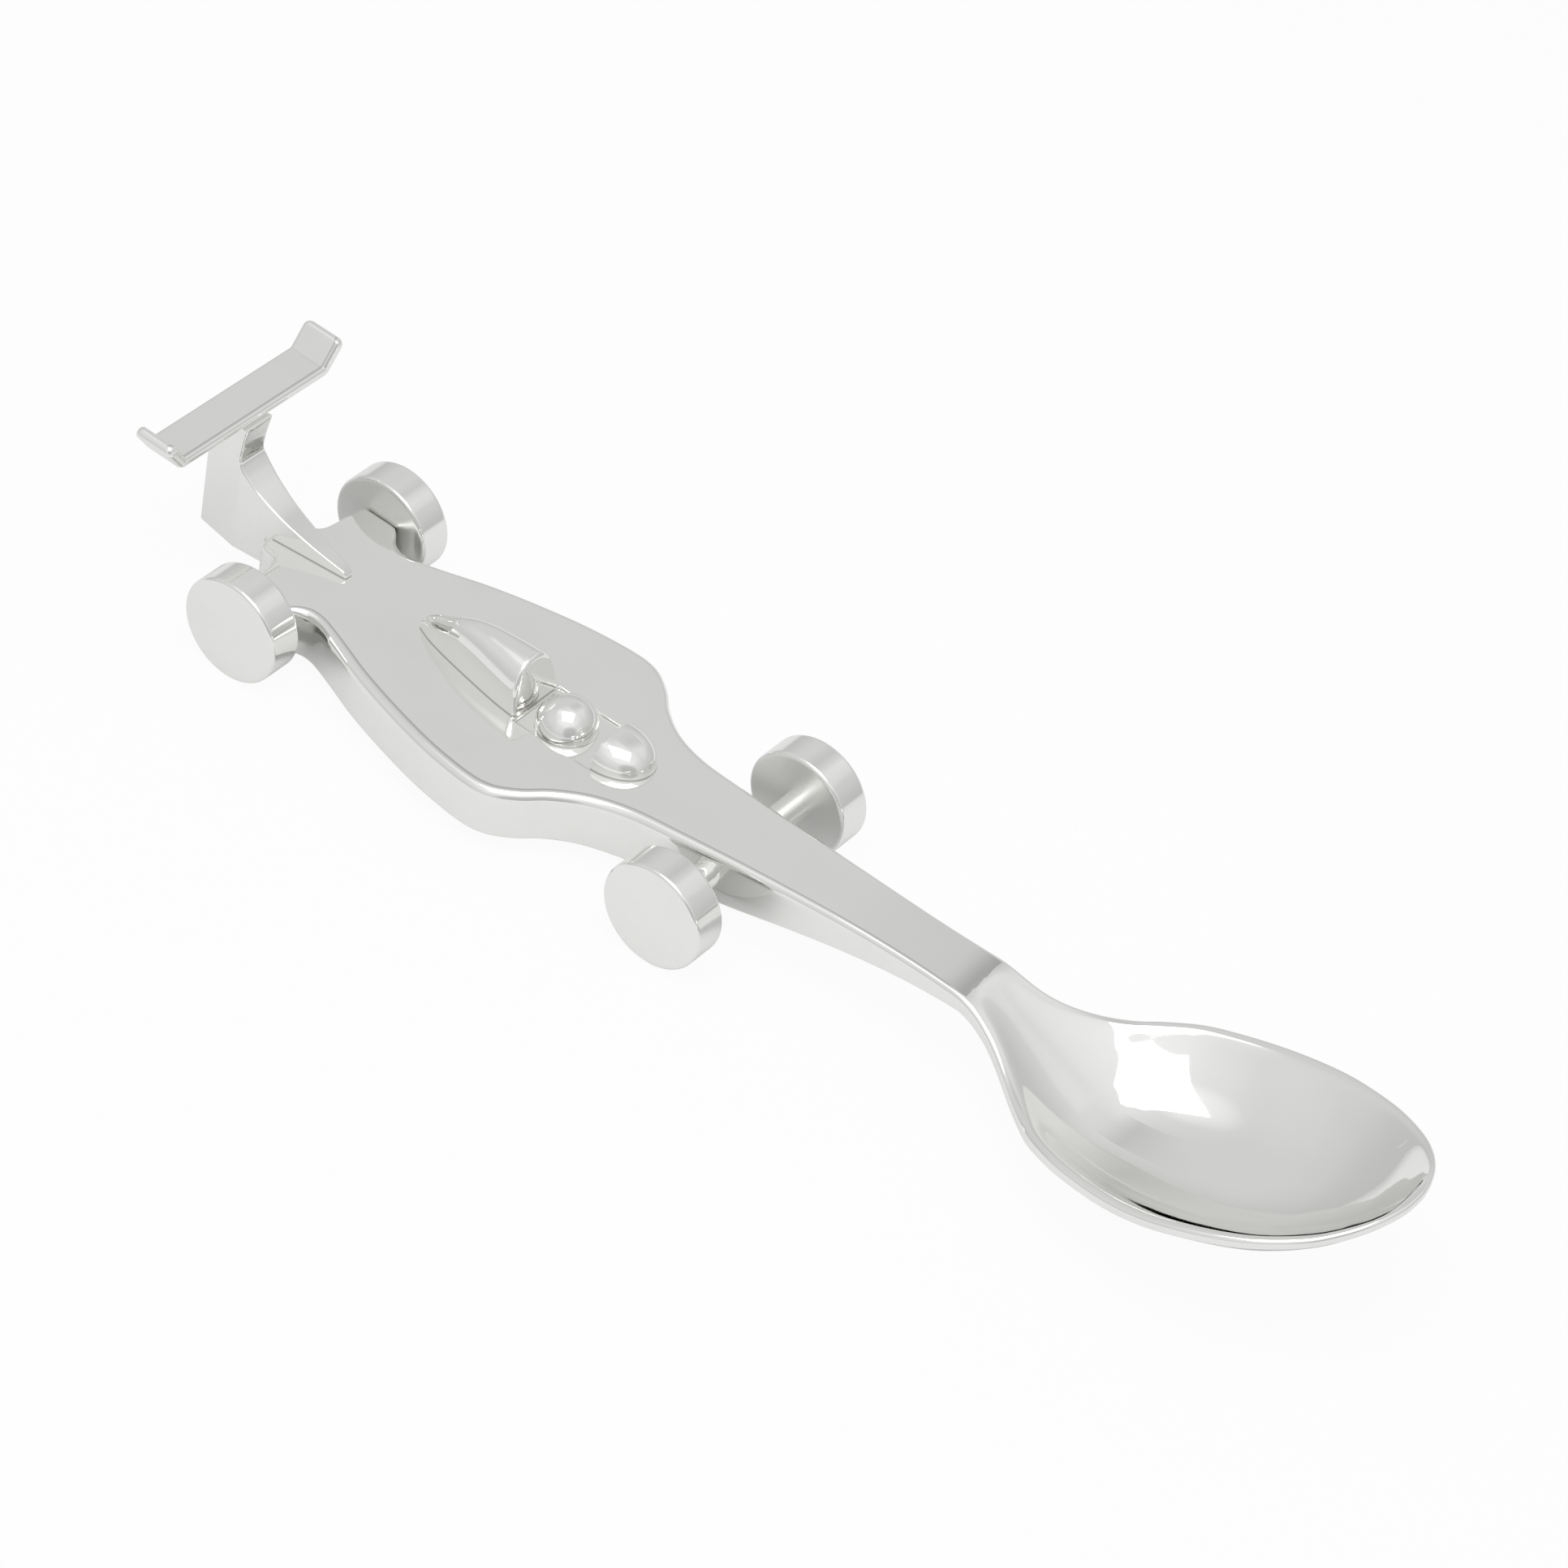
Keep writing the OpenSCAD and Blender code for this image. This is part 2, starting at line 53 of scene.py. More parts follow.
# Outlines and profiles as shares of named sizes, as in the part's source; only the fin's top flares more
TAIL = [(1, 0.5), (0.98, 0.72), (0.935, 0.87), (0.84, 0.965), (0.7, 1.02), (0.575, 1.1)]
ARM = [
    (-1.12, 0.445), (-1.04, 0.57), (-0.99, 0.73), (-0.94, 0.89), (-0.86, 0.965), (-0.6, 0.997), (0, 1),
    (0.7, 0.997), (0.97, 0.96), (1.17, 0.9),
]
DECK = [
    (0.065, 0.571), (0.081, 0.544), (0.1, 0.537), (0.125, 0.556), (0.177, 0.63), (0.25, 0.741),
    (0.327, 0.834), (0.404, 0.911), (0.462, 0.958), (0.519, 0.988), (0.562, 1), (0.596, 0.992),
    (0.629, 0.946), (0.667, 0.834), (0.704, 0.683), (0.76, 0.533), (0.833, 0.436),
]
NECK = [(0.6, 1.477), (0.672, 1.316), (0.756, 1.17), (0.839, 1.053), (0.909, 1), (0.971, 1.009)]
BOWL = [
    (0.026, 0.263), (0.079, 0.302), (0.122, 0.367), (0.165, 0.457), (0.208, 0.558), (0.251, 0.662),
    (0.294, 0.763), (0.358, 0.867), (0.423, 0.932), (0.509, 0.986), (0.594, 1), (0.68, 0.968),
    (0.766, 0.892), (0.83, 0.802), (0.895, 0.665), (0.938, 0.526), (0.968, 0.385), (0.987, 0.245),
    (0.998, 0.108), (1, 0.03),
]
RAMP = [
    (-0.1, 0), (0.2, 0), (0.374, 0), (0.456, 0.07), (0.536, 0.21), (0.623, 0.416), (0.697, 0.61),
    (0.767, 0.77), (0.834, 0.89), (0.909, 0.97), (0.971, 1.01), (1, 1),
]
UNDER = [
    (-0.1, 0), (0.3, 0), (0.5, 0), (0.548, 0.035), (0.623, 0.12), (0.685, 0.24), (0.767, 0.49),
    (0.834, 0.675), (0.909, 0.85), (0.971, 0.96), (1, 1),
]
RIM = [
    (0.036, 0.54), (0.079, 0.494), (0.122, 0.449), (0.165, 0.415), (0.208, 0.397), (0.251, 0.399),
    (0.294, 0.422), (0.358, 0.468), (0.423, 0.505), (0.509, 0.554), (0.594, 0.611), (0.68, 0.68),
    (0.766, 0.748), (0.83, 0.805), (0.895, 0.869), (0.938, 0.922), (0.968, 0.961), (1, 1),
]
FLOOR = [
    (0.036, 0.505), (0.079, 0.44), (0.122, 0.374), (0.165, 0.312), (0.208, 0.255), (0.251, 0.205),
    (0.294, 0.163), (0.358, 0.125), (0.423, 0.125), (0.509, 0.155), (0.594, 0.2), (0.68, 0.265),
    (0.766, 0.37), (0.83, 0.484), (0.895, 0.636), (0.938, 0.767), (0.968, 0.87), (1, 1),
]
THIN = [(0, 1), (0.079, 0.62), (0.165, 0.25), (0.251, 0), (0.6, 0), (1, 0)]
FAIRING = [
    (0, 0.1, 0.17), (0.042, 0.18, 0.33), (0.112, 0.305, 0.47), (0.224, 0.44, 0.625),
    (0.336, 0.55, 0.79), (0.462, 0.66, 0.915), (0.594, 0.765, 0.98), (0.727, 0.865, 1),
    (0.86, 0.945, 1.01), (1, 1, 1),
]
FIN = [
    (0, 0.065), (0.02, 0.091), (0.087, 0.113), (0.264, 0.162), (0.464, 0.233), (0.638, 0.312),
    (0.804, 0.42), (0.895, 0.5), (0.957, 0.565), (0.99, 0.615), (1, 0.67), (0.995, 0.76), (0.984, 0.86),
    (0.96, 1),
]
# Rounding of the top edge along the body: station in millimetres and share of the deck's rounding
ROUNDING = [
    (-6, 0.7), (-3.2, 0.7), (-2.6, 0.53), (2.6, 0.53), (4.5, 1.25), (40, 1.25), (60, 0.9), (78, 0.75),
    (84, 0.69), (127, 0.69),
]
# Profile of the slot's edges: millimetres outwards, and share of the slot's depth
SLOT_EDGE = np.array([(-0.06, 1), (-0.02, 0.3), (0.06, 0.08), (0.2, 0)])
# Profile of the fin's lower edge: millimetres above it, and millimetres that it draws in
FIN_SOLE = np.array([(0, 0.16), (0.02, 0.08), (0.08, 0.02), (0.18, 0)])
# Columns on a flat between two rounded edges, as shares of its width
FLAT_STEPS = np.array([0.02, 0.5, 0.98])
# Steps of the grids
PLAN_STEPS = 8
MIDDLE_COLUMNS = 15
SIDE_COLUMNS = 22
ROUND_STEPS = 10
ARCH_STEPS = 49
ARCH_LID_STEPS = 8
WING_ROUND_STEPS = 7
WING_LID_STEPS = 3
HELMET_SIDES = 128
WHEEL_SIDES = 160
AXLE_SIDES = 64
# Small lengths and powers of the shapes
MILLI = 0.001
ARCH_FOOT = 0.25 * MILLI
HELMET_FOOT = 0.15 * MILLI
AXLE_LET_IN = 0.6 * MILLI
ARCH_POWER = 0.9
# Points nearer than this are merged, and edges flatter than this look smooth
MERGE = 2e-7
SMOOTH_DEGREES = 38
# Scales of the silver's patterns, per metre
BROAD_SCALE = 75
RIPPLE_SCALE = 330
CLOUD_SCALE = 130
HAIR_SCALE = 5200
PIT_SCALE = 230.0
BREAK_SCALE = 1500
# Strengths of the stain in the pits, of the painted shade at the feet, of the painted dark reflection
# lines and of the painted dark band and line before the neck's bend
PIT_STAIN = 0.8
FOOT_SHADE = 0.75
REFLECTION_LINE_DARK = 0.7
BEND_BAND_SHADE = 0.5
BEND_LINE_SHADE = 0.6


def length(name, millimetres, description):
    """A size in metres, written in millimetres."""
    return bpy.props.FloatProperty(
        name=name, description=description, default=millimetres * MILLI, precision=5,
        unit="LENGTH", subtype="DISTANCE")


def number(name, value, description, low=0.0, high=1.0):
    """A plain number between two limits."""
    return bpy.props.FloatProperty(
        name=name, description=description, default=value, min=low, max=high, precision=4, subtype="FACTOR")


def colour(name, value, description):
    """A linear colour."""
    return bpy.props.FloatVectorProperty(
        name=name, description=description, default=value, size=3, min=0.0, max=1.0, subtype="COLOR")


class SpoonSizes(bpy.types.PropertyGroup):
    """Sizes of the spoon and the car."""

    wheel_diameter: length("Wheel diameter", 11.22, "Diameter of the four wheels")
    wheel_width: length("Wheel width", 3.8, "Width of a wheel")
    wheel_edge: length("Wheel rim rounding", 0.4, "Rounding of a wheel's rims")
    wheel_gauge: length("Gauge", 17.86, "Distance between the inner faces of a pair of wheels")
    wheelbase: length("Wheelbase", 52, "Distance from rear axle to front axle")
    front_axle: length("Front axle diameter", 2.8, "Diameter of the front axle")
    rear_axle: length("Rear axle diameter", 2, "Diameter of the rear axle")
    tail_reach: length("Tail", 5.4, "Length of the tail behind the rear axle")
    tail_half_width: length("Tail half width", 3, "Half width of the tail")
    arm_half_length: length("Arm half length", 2.4, "Half length of the arms that carry the rear axle")
    arm_gap: length("Arm gap", 0.04, "Gap between an arm's end and its wheel")
    deck_half_width: length("Deck half width", 12.95, "Half width of the deck at its widest")
    deck_rise: length("Deck rise", 1.71, "Height of the deck above the axles")
    under_drop: length("Underside drop", 3.74, "Drop of the flat underside below the axles")
    deck_edge: length("Deck edge rounding", 0.8, "Rounding along the deck's top edge")
    under_edge: length("Bottom edge rounding", 0.3, "Rounding along the bottom edge")
    neck_reach: length("Neck reach", 80.3, "Length from the rear axle to the neck's bend")
    neck_half_width: length("Neck half width", 3.42, "Half width of the neck at its narrowest")
    neck_rise: length("Neck rise", 4.21, "Height of the neck above the axles")
    neck_thickness: length("Neck thickness", 1.75, "Thickness of the neck at its bend")
    bowl_length: length("Bowl length", 46.6, "Length of the bowl from the neck's bend to the tip")
    bowl_half_width: length("Bowl half width", 13.9, "Half width of the bowl")
    tip_rise: length("Tip rise", 11.79, "Height of the bowl's tip above the axles")
    rim_thickness: length("Rim thickness", 1.2, "Thickness of the bowl's rim")
    rim_lip: length("Rim lip", 0.9, "Width of the lip between the bowl's outline and its hollow")
    bowl_wall: length("Bowl wall", 1.2, "Wall thickness at the bottom of the bowl")
    slot_half_width: length("Slot half width", 3.4, "Half width of the cockpit slot")
    slot_depth: length("Slot depth", 0.33, "Depth of the cockpit slot below the deck")
    helmet_diameter: length("Helmet diameter", 6.2, "Diameter of the helmet's half ball")
    helmet_station: length("Helmet station", 31.1, "Place of the helmet ahead of the rear axle")
    fairing_station: length("Fairing station", 27.3, "Place of the fairing's front face")
    fairing_length: length("Fairing length", 14.3, "Length of the fairing")
    fairing_half_width: length("Fairing half width", 3.2, "Half width of the fairing")
    fairing_height: length("Fairing height", 5.2, "Height of the fairing above the deck")
    fairing_rake: number("Fairing lean", 10, "Lean of the fairing's front face, in degrees", high=20)
    cowl_station: length("Cowl station", 36.6, "Place of the cowl's rear face")
    cowl_length: length("Cowl length", 4.7, "Length of the cowl")
    cowl_half_width: length("Cowl half width", 3.36, "Half width of the cowl")
    cowl_height: length("Cowl height", 2.85, "Height of the cowl above the deck")
    fin_nose: length("Fin nose", 3.75, "Place of the fin's nose ahead of the rear axle")
    fin_nose_half: length("Fin nose half thickness", 0.5, "Half thickness of the fin at its nose")
    fin_mid: length("Fin crease", 9.2, "Distance of the fin's thickest line behind the rear axle")
    fin_mid_half: length("Fin half thickness", 1.85, "Half thickness of the fin at its thickest line")
    fin_rear_half: length("Fin rear half thickness", 1.1, "Half thickness of the fin at its rear edge")
    fin_drop: length("Fin drop", 1.9, "Drop of the fin's lower edge below the axles")
    fin_bevel: length("Fin bevel", 0.15, "Bevel of the fin's lower rear corner")
    fin_seat: length("Fin seat", 0.3, "Depth of the fin's seat below the deck")
    wing_reach: length("Wing reach", 14.1, "Length from the rear axle to the wing's trailing edge")
    wing_chord: length("Wing chord", 4.6, "Wing chord")
    wing_thickness: length("Wing thickness", 1.2, "Wing thickness")
    wing_rise: length("Wing rise", 13.81, "Height of the wing's top above the axles")
    wing_half: length("Wing half span", 9.75, "Half span of the flat of the wing")
    plate_rise: length("Wing end rise", 2.5, "Rise of the turned-up wing ends")
    plate_out: length("Wing end lean", 1.9, "Outward lean of the turned-up wing ends")
    plate_corner: length("Wing end corner", 0.7, "Corner rounding of the wing ends")


class SpoonFinish(bpy.types.PropertyGroup):
    """Colours and polish of the silver."""

    silver: colour("Silver", (0.93, 0.93, 0.912), "Colour of the polished silver")
    # This colour is also the one towards which the painted shade and the painted dark reflection lines blend
    speck_and_shade: colour("Speck", (0.34, 0.335, 0.32), "Colour of the tiny pits")
    polish: number("Polish", 0.035, "Roughness of the cleanest polish")
    wear: number("Handling", 0.035, "Added roughness where hands have dulled the polish")
    waves: length("Polishing waves", 0.025, "Height of the broad waves left by hand polishing")
    floor: colour("Table", (0.765, 0.765, 0.765), "Colour of the table")


def smooth_at(table, x):
    """Cubic through a table: each span is a Hermite cubic, with end slopes taken between the neighbours."""
    table = np.asarray(table, float)
    xs, ys = table[:, 0], table[:, 1]
    ahead = np.minimum(np.arange(len(xs)) + 1, len(xs) - 1)
    behind = np.maximum(np.arange(len(xs)) - 1, 0)
    slope = (ys[ahead] - ys[behind]) / (xs[ahead] - xs[behind])
    i = np.clip(np.searchsorted(xs, x, side="right") - 1, 0, len(xs) - 2)
    h = xs[i + 1] - xs[i]
    t = (x - xs[i]) / h
    q, k = t * t, t * t * t
    return ((2 * k - 3 * q + 1) * ys[i] + (k - 2 * q + t) * h * slope[i]
            + (3 * q - 2 * k) * ys[i + 1] + (k - q) * h * slope[i + 1])


def smooth_path(points, q):
    """Uniform Catmull-Rom curve through points at the fractional indices q: places and directions."""
    n = len(points)
    i = np.clip(np.floor(q).astype(int), 0, n - 2)
    t = (q - i)[:, None]
    a, b = points[np.maximum(i - 1, 0)], points[i]
    c, d = points[i + 1], points[np.minimum(i + 2, n - 1)]
    one, two, three = c - a, 2 * a - 5 * b + 4 * c - d, 3 * b - a - 3 * c + d
    place = (2 * b + one * t + two * t ** 2 + three * t ** 3) / 2
    return place, (one + 2 * two * t + 3 * three * t ** 2) / 2


def ease(raw, softness):
    """Depth that starts without a corner: the root of raw squared plus softness squared, less softness."""
    return np.sqrt(raw * raw + softness * softness) - softness


def quarter(steps):
    """Angles of a quarter turn in even steps."""
    return np.linspace(0, np.pi / 2, steps)


def layout(s):
    """Heights, lines and stations that follow from the sizes; stations count from the rear axle."""
    a = SimpleNamespace()
    a.axle = s.wheel_diameter / 2
    a.deck = a.axle + s.deck_rise
    a.under = a.axle - s.under_drop
    a.neck = a.axle + s.neck_rise
    a.tip = a.axle + s.tip_rise
    a.wing_top = a.axle + s.wing_rise
    a.wing_under = a.wing_top - s.wing_thickness
    a.slot = a.deck - s.slot_depth
    a.shift = (s.wing_reach - s.neck_reach - s.bowl_length) / 2
    arm = s.wheel_gauge / 2 - s.arm_gap
    bowl = np.array([s.neck_reach, 0.0])
    a.plan = np.concatenate([
        np.array(TAIL) * [-s.tail_reach, s.tail_half_width],
        np.array(ARM) * [s.arm_half_length, arm],
        np.array(DECK) * [s.wheelbase, s.deck_half_width],
        np.array(NECK) * [s.neck_reach, s.neck_half_width],
        np.array(BOWL) * [s.bowl_length, s.bowl_half_width] + bowl])
    a.edge = np.concatenate([
        np.array(RAMP) * [s.neck_reach, a.neck - a.deck] + [0, a.deck],
        np.array(RIM) * [s.bowl_length, a.tip] + bowl])
    a.floor = np.concatenate([[[s.neck_reach, a.neck]], np.array(FLOOR) * [s.bowl_length, a.tip] + bowl])
    a.low = np.array(UNDER) * [s.neck_reach, a.neck - s.neck_thickness - a.under] + [0, a.under]
    a.thin = (np.array(THIN) * [s.bowl_length, s.neck_thickness - s.rim_thickness]
              + [s.neck_reach, s.rim_thickness])
    return a


def edge_height(a, x):
    """Height of the upper edge at a station."""
    return smooth_at(a.edge, x)


def low_height(a, s, x):
    """Height of the lower edge at a station: the rim's thickness below the upper edge in the bowl."""
    return np.where(x > s.neck_reach, smooth_at(a.edge, x) - smooth_at(a.thin, x), smooth_at(a.low, x))


def dish_depth(a, s, x):
    """Depth of the bowl's middle below its rim at a station."""
    return np.where(x > s.neck_reach, np.maximum(smooth_at(a.edge, x) - smooth_at(a.floor, x), 0), 0)


def belly_depth(a, s, x):
    """Bulge of the bowl's outside below its lower edge at a station."""
    dish = dish_depth(a, s, x)
    bulge = np.maximum(low_height(a, s, x) - (smooth_at(a.edge, x) - dish - s.bowl_wall), 0)
    return bulge * np.minimum(dish / s.bowl_wall, 1)


def body_grids(s):
    """Skin of the body. The plan outline is a curve (x, half width) with its outward normal; the top edge
    is a quarter round of radius r set in along that normal, then a wall, then the bottom round. The top
    is the edge height less the bowl's depth times one minus the square of the share across to the lip;
    past its bank the right-hand wall runs straight to the lip. The bottom is the lower edge less the
    belly's depth, likewise. The cockpit slot lowers the top between its four edges."""
    a = layout(s)
    last = len(a.plan) - 1
    stops = np.array(ROUNDING) * [MILLI, s.deck_edge]
    top_limit, bottom_limit, slot_limit = 0.48, 0.3, 0.55
    full_width = 3 * MILLI
    bank = 0.8
    lip_softness, belly_softness = 0.4 * MILLI, 0.1 * MILLI
    wall = np.array([0.03, 0.5, 0.97])
    out, deep = SLOT_EDGE[:, 0], SLOT_EDGE[:, 1]
    slot_x = np.concatenate([s.fairing_station - out[::-1] * MILLI, s.cowl_station + out * MILLI])
    slot_share = np.concatenate([deep[::-1], deep])

    def stations(q):
        place, way = smooth_path(a.plan, q)
        span = np.hypot(way[:, 0], way[:, 1])
        x, w = place[:, 0], np.minimum(place[:, 1], s.bowl_half_width)
        thick = edge_height(a, x) - low_height(a, s, x)
        r = np.minimum(np.interp(x, stops[:, 0], stops[:, 1]), top_limit * thick)
        e = np.minimum(s.under_edge, bottom_limit * thick)
        return x, w, -way[:, 1] / span, way[:, 0] / span, r, e

    q = np.linspace(0, last, PLAN_STEPS * last + 1)
    x, w, nx, ny, r, e = stations(q)
    q = np.unique(np.concatenate([q, np.interp(slot_x, x - r * nx, q)]))
    x, w, nx, ny, r, e = stations(q)

    in_x, in_w = x - r * nx, w - r * ny
    half = np.minimum(s.slot_half_width, slot_limit * in_w)
    fine = np.minimum(1, in_w / full_width) * MILLI
    line = half[:, None] + out * fine[:, None]
    outer = line[:, 3:]
    spread = np.sin(np.pi / 2 * np.linspace(0, 1, SIDE_COLUMNS))
    side = np.concatenate([line[:, 1:3], outer + (in_w[:, None] - outer) * spread], 1)
    middle = line[:, :1] * np.linspace(-1, 1, MIDDLE_COLUMNS)
    y = np.concatenate([-side[:, ::-1], middle, side], 1)
    across = np.concatenate([deep[1:3], np.zeros(SIDE_COLUMNS)])
    across = np.concatenate([across[::-1], np.ones(MIDDLE_COLUMNS), across])
    drop = s.slot_depth * np.minimum(np.interp(in_x, slot_x, slot_share)[:, None], across)
    u = y / in_w[:, None]
    wide = np.interp(in_x, np.maximum.accumulate(x), w)
    inner = (wide - np.minimum(s.rim_lip, wide / 2))[:, None]
    tip = np.clip((in_x.max() - in_x) / s.rim_lip, 0, 1)
    share = np.abs(y) / inner
    fall = np.where((share < bank) | (y > 0), 1 - share ** 2, 1 + bank ** 2 - 2 * bank * share)
    hollow = (dish_depth(a, s, in_x) * tip)[:, None] * np.maximum(fall, 0)
    top_z = edge_height(a, in_x)[:, None] - ease(hollow, lip_softness) - drop
    top = np.stack([np.broadcast_to(in_x[:, None], y.shape), y, top_z], -1)

    turn = quarter(ROUND_STEPS)
    back = turn[::-1]
    inset = np.concatenate([
        r[:, None] * (1 - np.sin(turn)), np.zeros((len(x), len(wall))), e[:, None] * (1 - np.sin(back))], 1)
    sx, sw = x[:, None] - inset * nx[:, None], w[:, None] - inset * ny[:, None]
    high, low = (edge_height(a, x) - r)[:, None], (low_height(a, s, x) + e)[:, None]
    sz = np.concatenate([
        edge_height(a, sx[:, :ROUND_STEPS]) - r[:, None] * (1 - np.cos(turn)),
        high + (low - high) * wall,
        low_height(a, s, sx[:, -ROUND_STEPS:]) + e[:, None] * (1 - np.cos(back))], 1)

    low_x, low_w = x - e * nx, w - e * ny
    belly = belly_depth(a, s, low_x)[:, None] * (1 - u * u)
    low_z = low_height(a, s, low_x)[:, None] - ease(belly, belly_softness)
    bottom = np.stack([np.broadcast_to(low_x[:, None], y.shape), u * low_w[:, None], low_z], -1)

    def cap(i):
        size = (sx.shape[1], y.shape[1])
        rows = np.stack([
            np.broadcast_to(sx[i][:, None], size), sw[i][:, None] * u[i],
            np.broadcast_to(sz[i][:, None], size)], -1)
        return np.concatenate([top[i][None], rows[1:-1], bottom[i][None]])

    grids = [top, np.stack([sx, sw, sz], -1), np.stack([sx, -sw, sz], -1), bottom, cap(0), cap(-1)]
    return [g + [a.shift, 0, 0] for g in grids]


def lid(row, heart, steps):
    """Flat end: a row of points drawn in to its heart."""
    return heart + (row - heart) * np.linspace(1, 0, steps)[:, None, None]


def arches(a, x, half, height, lean):
    """Arches across the body at stations x: the sine and cosine of half a turn to the power ARCH_POWER,
    times the height and half width, standing on the deck, leaning back by lean, with a foot below the
    deck on both sides. The first and the last are closed by flat ends drawn in to the middle of their
    feet."""
    t = np.pi * (1 - np.linspace(0, 1, ARCH_STEPS))
    c, v = np.cos(t), np.maximum(np.sin(t), 0) ** ARCH_POWER
    ground, slant = edge_height(a, x)[:, None], lean[:, None]
    rise = height[:, None] * v
    y = half[:, None] * np.sign(c) * np.abs(c) ** ARCH_POWER
    px, pz = x[:, None] - slant * rise, ground + rise
    down = ground - ARCH_FOOT
    py = np.concatenate([y[:, :1], y, y[:, -1:]], 1)
    pz = np.concatenate([down, pz, down], 1)
    px = np.concatenate([px[:, :1] + slant * ARCH_FOOT, px, px[:, -1:] + slant * ARCH_FOOT], 1)
    rows = np.stack([px, py, pz], -1) + [a.shift, 0, 0]
    return [rows] + [lid(row, (row[0] + row[-1]) / 2, ARCH_LID_STEPS) for row in (rows[0], rows[-1])]


def fairing_grids(s):
    """Fairing: arches whose half width and height follow a smooth table along its length, with a small
    round at the front edge, a flat leaning front face and a blunt rear end."""
    a = layout(s)
    table = np.array(FAIRING)
    edge, edge_start = 0.45 * MILLI, 0.55 * MILLI
    stations, crowding = 90, 1.3
    share = np.linspace(0, 1, stations) ** crowding * (1 - edge_start / s.fairing_length)
    trim = edge * (1 - np.cos(quarter(ROUND_STEPS)))
    x = s.fairing_station - (1 - share) * s.fairing_length
    half = smooth_at(table[:, [0, 1]], share) * s.fairing_half_width
    high = smooth_at(table[:, [0, 2]], share) * s.fairing_height
    x = np.concatenate([x, s.fairing_station - edge * (1 - np.sin(quarter(ROUND_STEPS)))])
    half = np.concatenate([half, s.fairing_half_width - trim])
    high = np.concatenate([high, s.fairing_height - trim])
    share = np.clip((x - s.fairing_station) / s.fairing_length + 1, 0, 1)
    return arches(a, x, half, high, math.tan(math.radians(s.fairing_rake)) * share)


def cowl_grids(s):
    """Cowl: a quarter ball stretched along the car; its half width and height fall with the root of one
    minus the square of the share of its length; the rear face is upright with a small round at its edge."""
    a = layout(s)
    edge = 0.14 * MILLI
    nose, edge_steps, nose_steps = 0.985, 7, 48
    turn = quarter(edge_steps)[:-1]
    swing = np.linspace(0, np.pi / 2 * nose, nose_steps)
    x = s.cowl_station + np.concatenate([
        edge * (1 - np.cos(turn)), edge + np.sin(swing) * (s.cowl_length - edge)])
    trim = np.concatenate([edge * (1 - np.sin(turn)), np.zeros(len(swing))])
    fall = np.concatenate([np.ones(len(turn)), np.cos(swing)])
    half, high = s.cowl_half_width * fall - trim, s.cowl_height * fall - trim
    return arches(a, x, half, high, np.zeros(len(x)))


def turned_grid(profile, centre, axis, steps):
    """Surface of revolution: a profile of (radius, place along the axis) turned round an upright or cross
    axis."""
    t = np.linspace(0, 2 * np.pi, steps + 1)
    ring, along = profile[:, :1], np.broadcast_to(profile[:, 1:], (len(profile), len(t)))
    one, two = ring * np.cos(t), ring * np.sin(t)
    parts = (one, two, along) if axis == "Z" else (one, along, two)
    return np.stack(parts, -1) + np.asarray(centre)


def helmet_grids(s):
    """Helmet: a quarter circle turned round the upright axis, closed below by a flat foot."""
    a = layout(s)
    swing = quarter(49)
    radius = s.helmet_diameter / 2
    arc = np.stack([radius * np.cos(swing), radius * np.sin(swing)], -1)
    foot = np.stack([radius * np.array([0, 0.5, 1]), np.full(3, -HELMET_FOOT)], -1)
    centre = (a.shift + s.helmet_station, 0, a.slot)
    return [turned_grid(np.concatenate([foot, arc]), centre, "Z", HELMET_SIDES)]


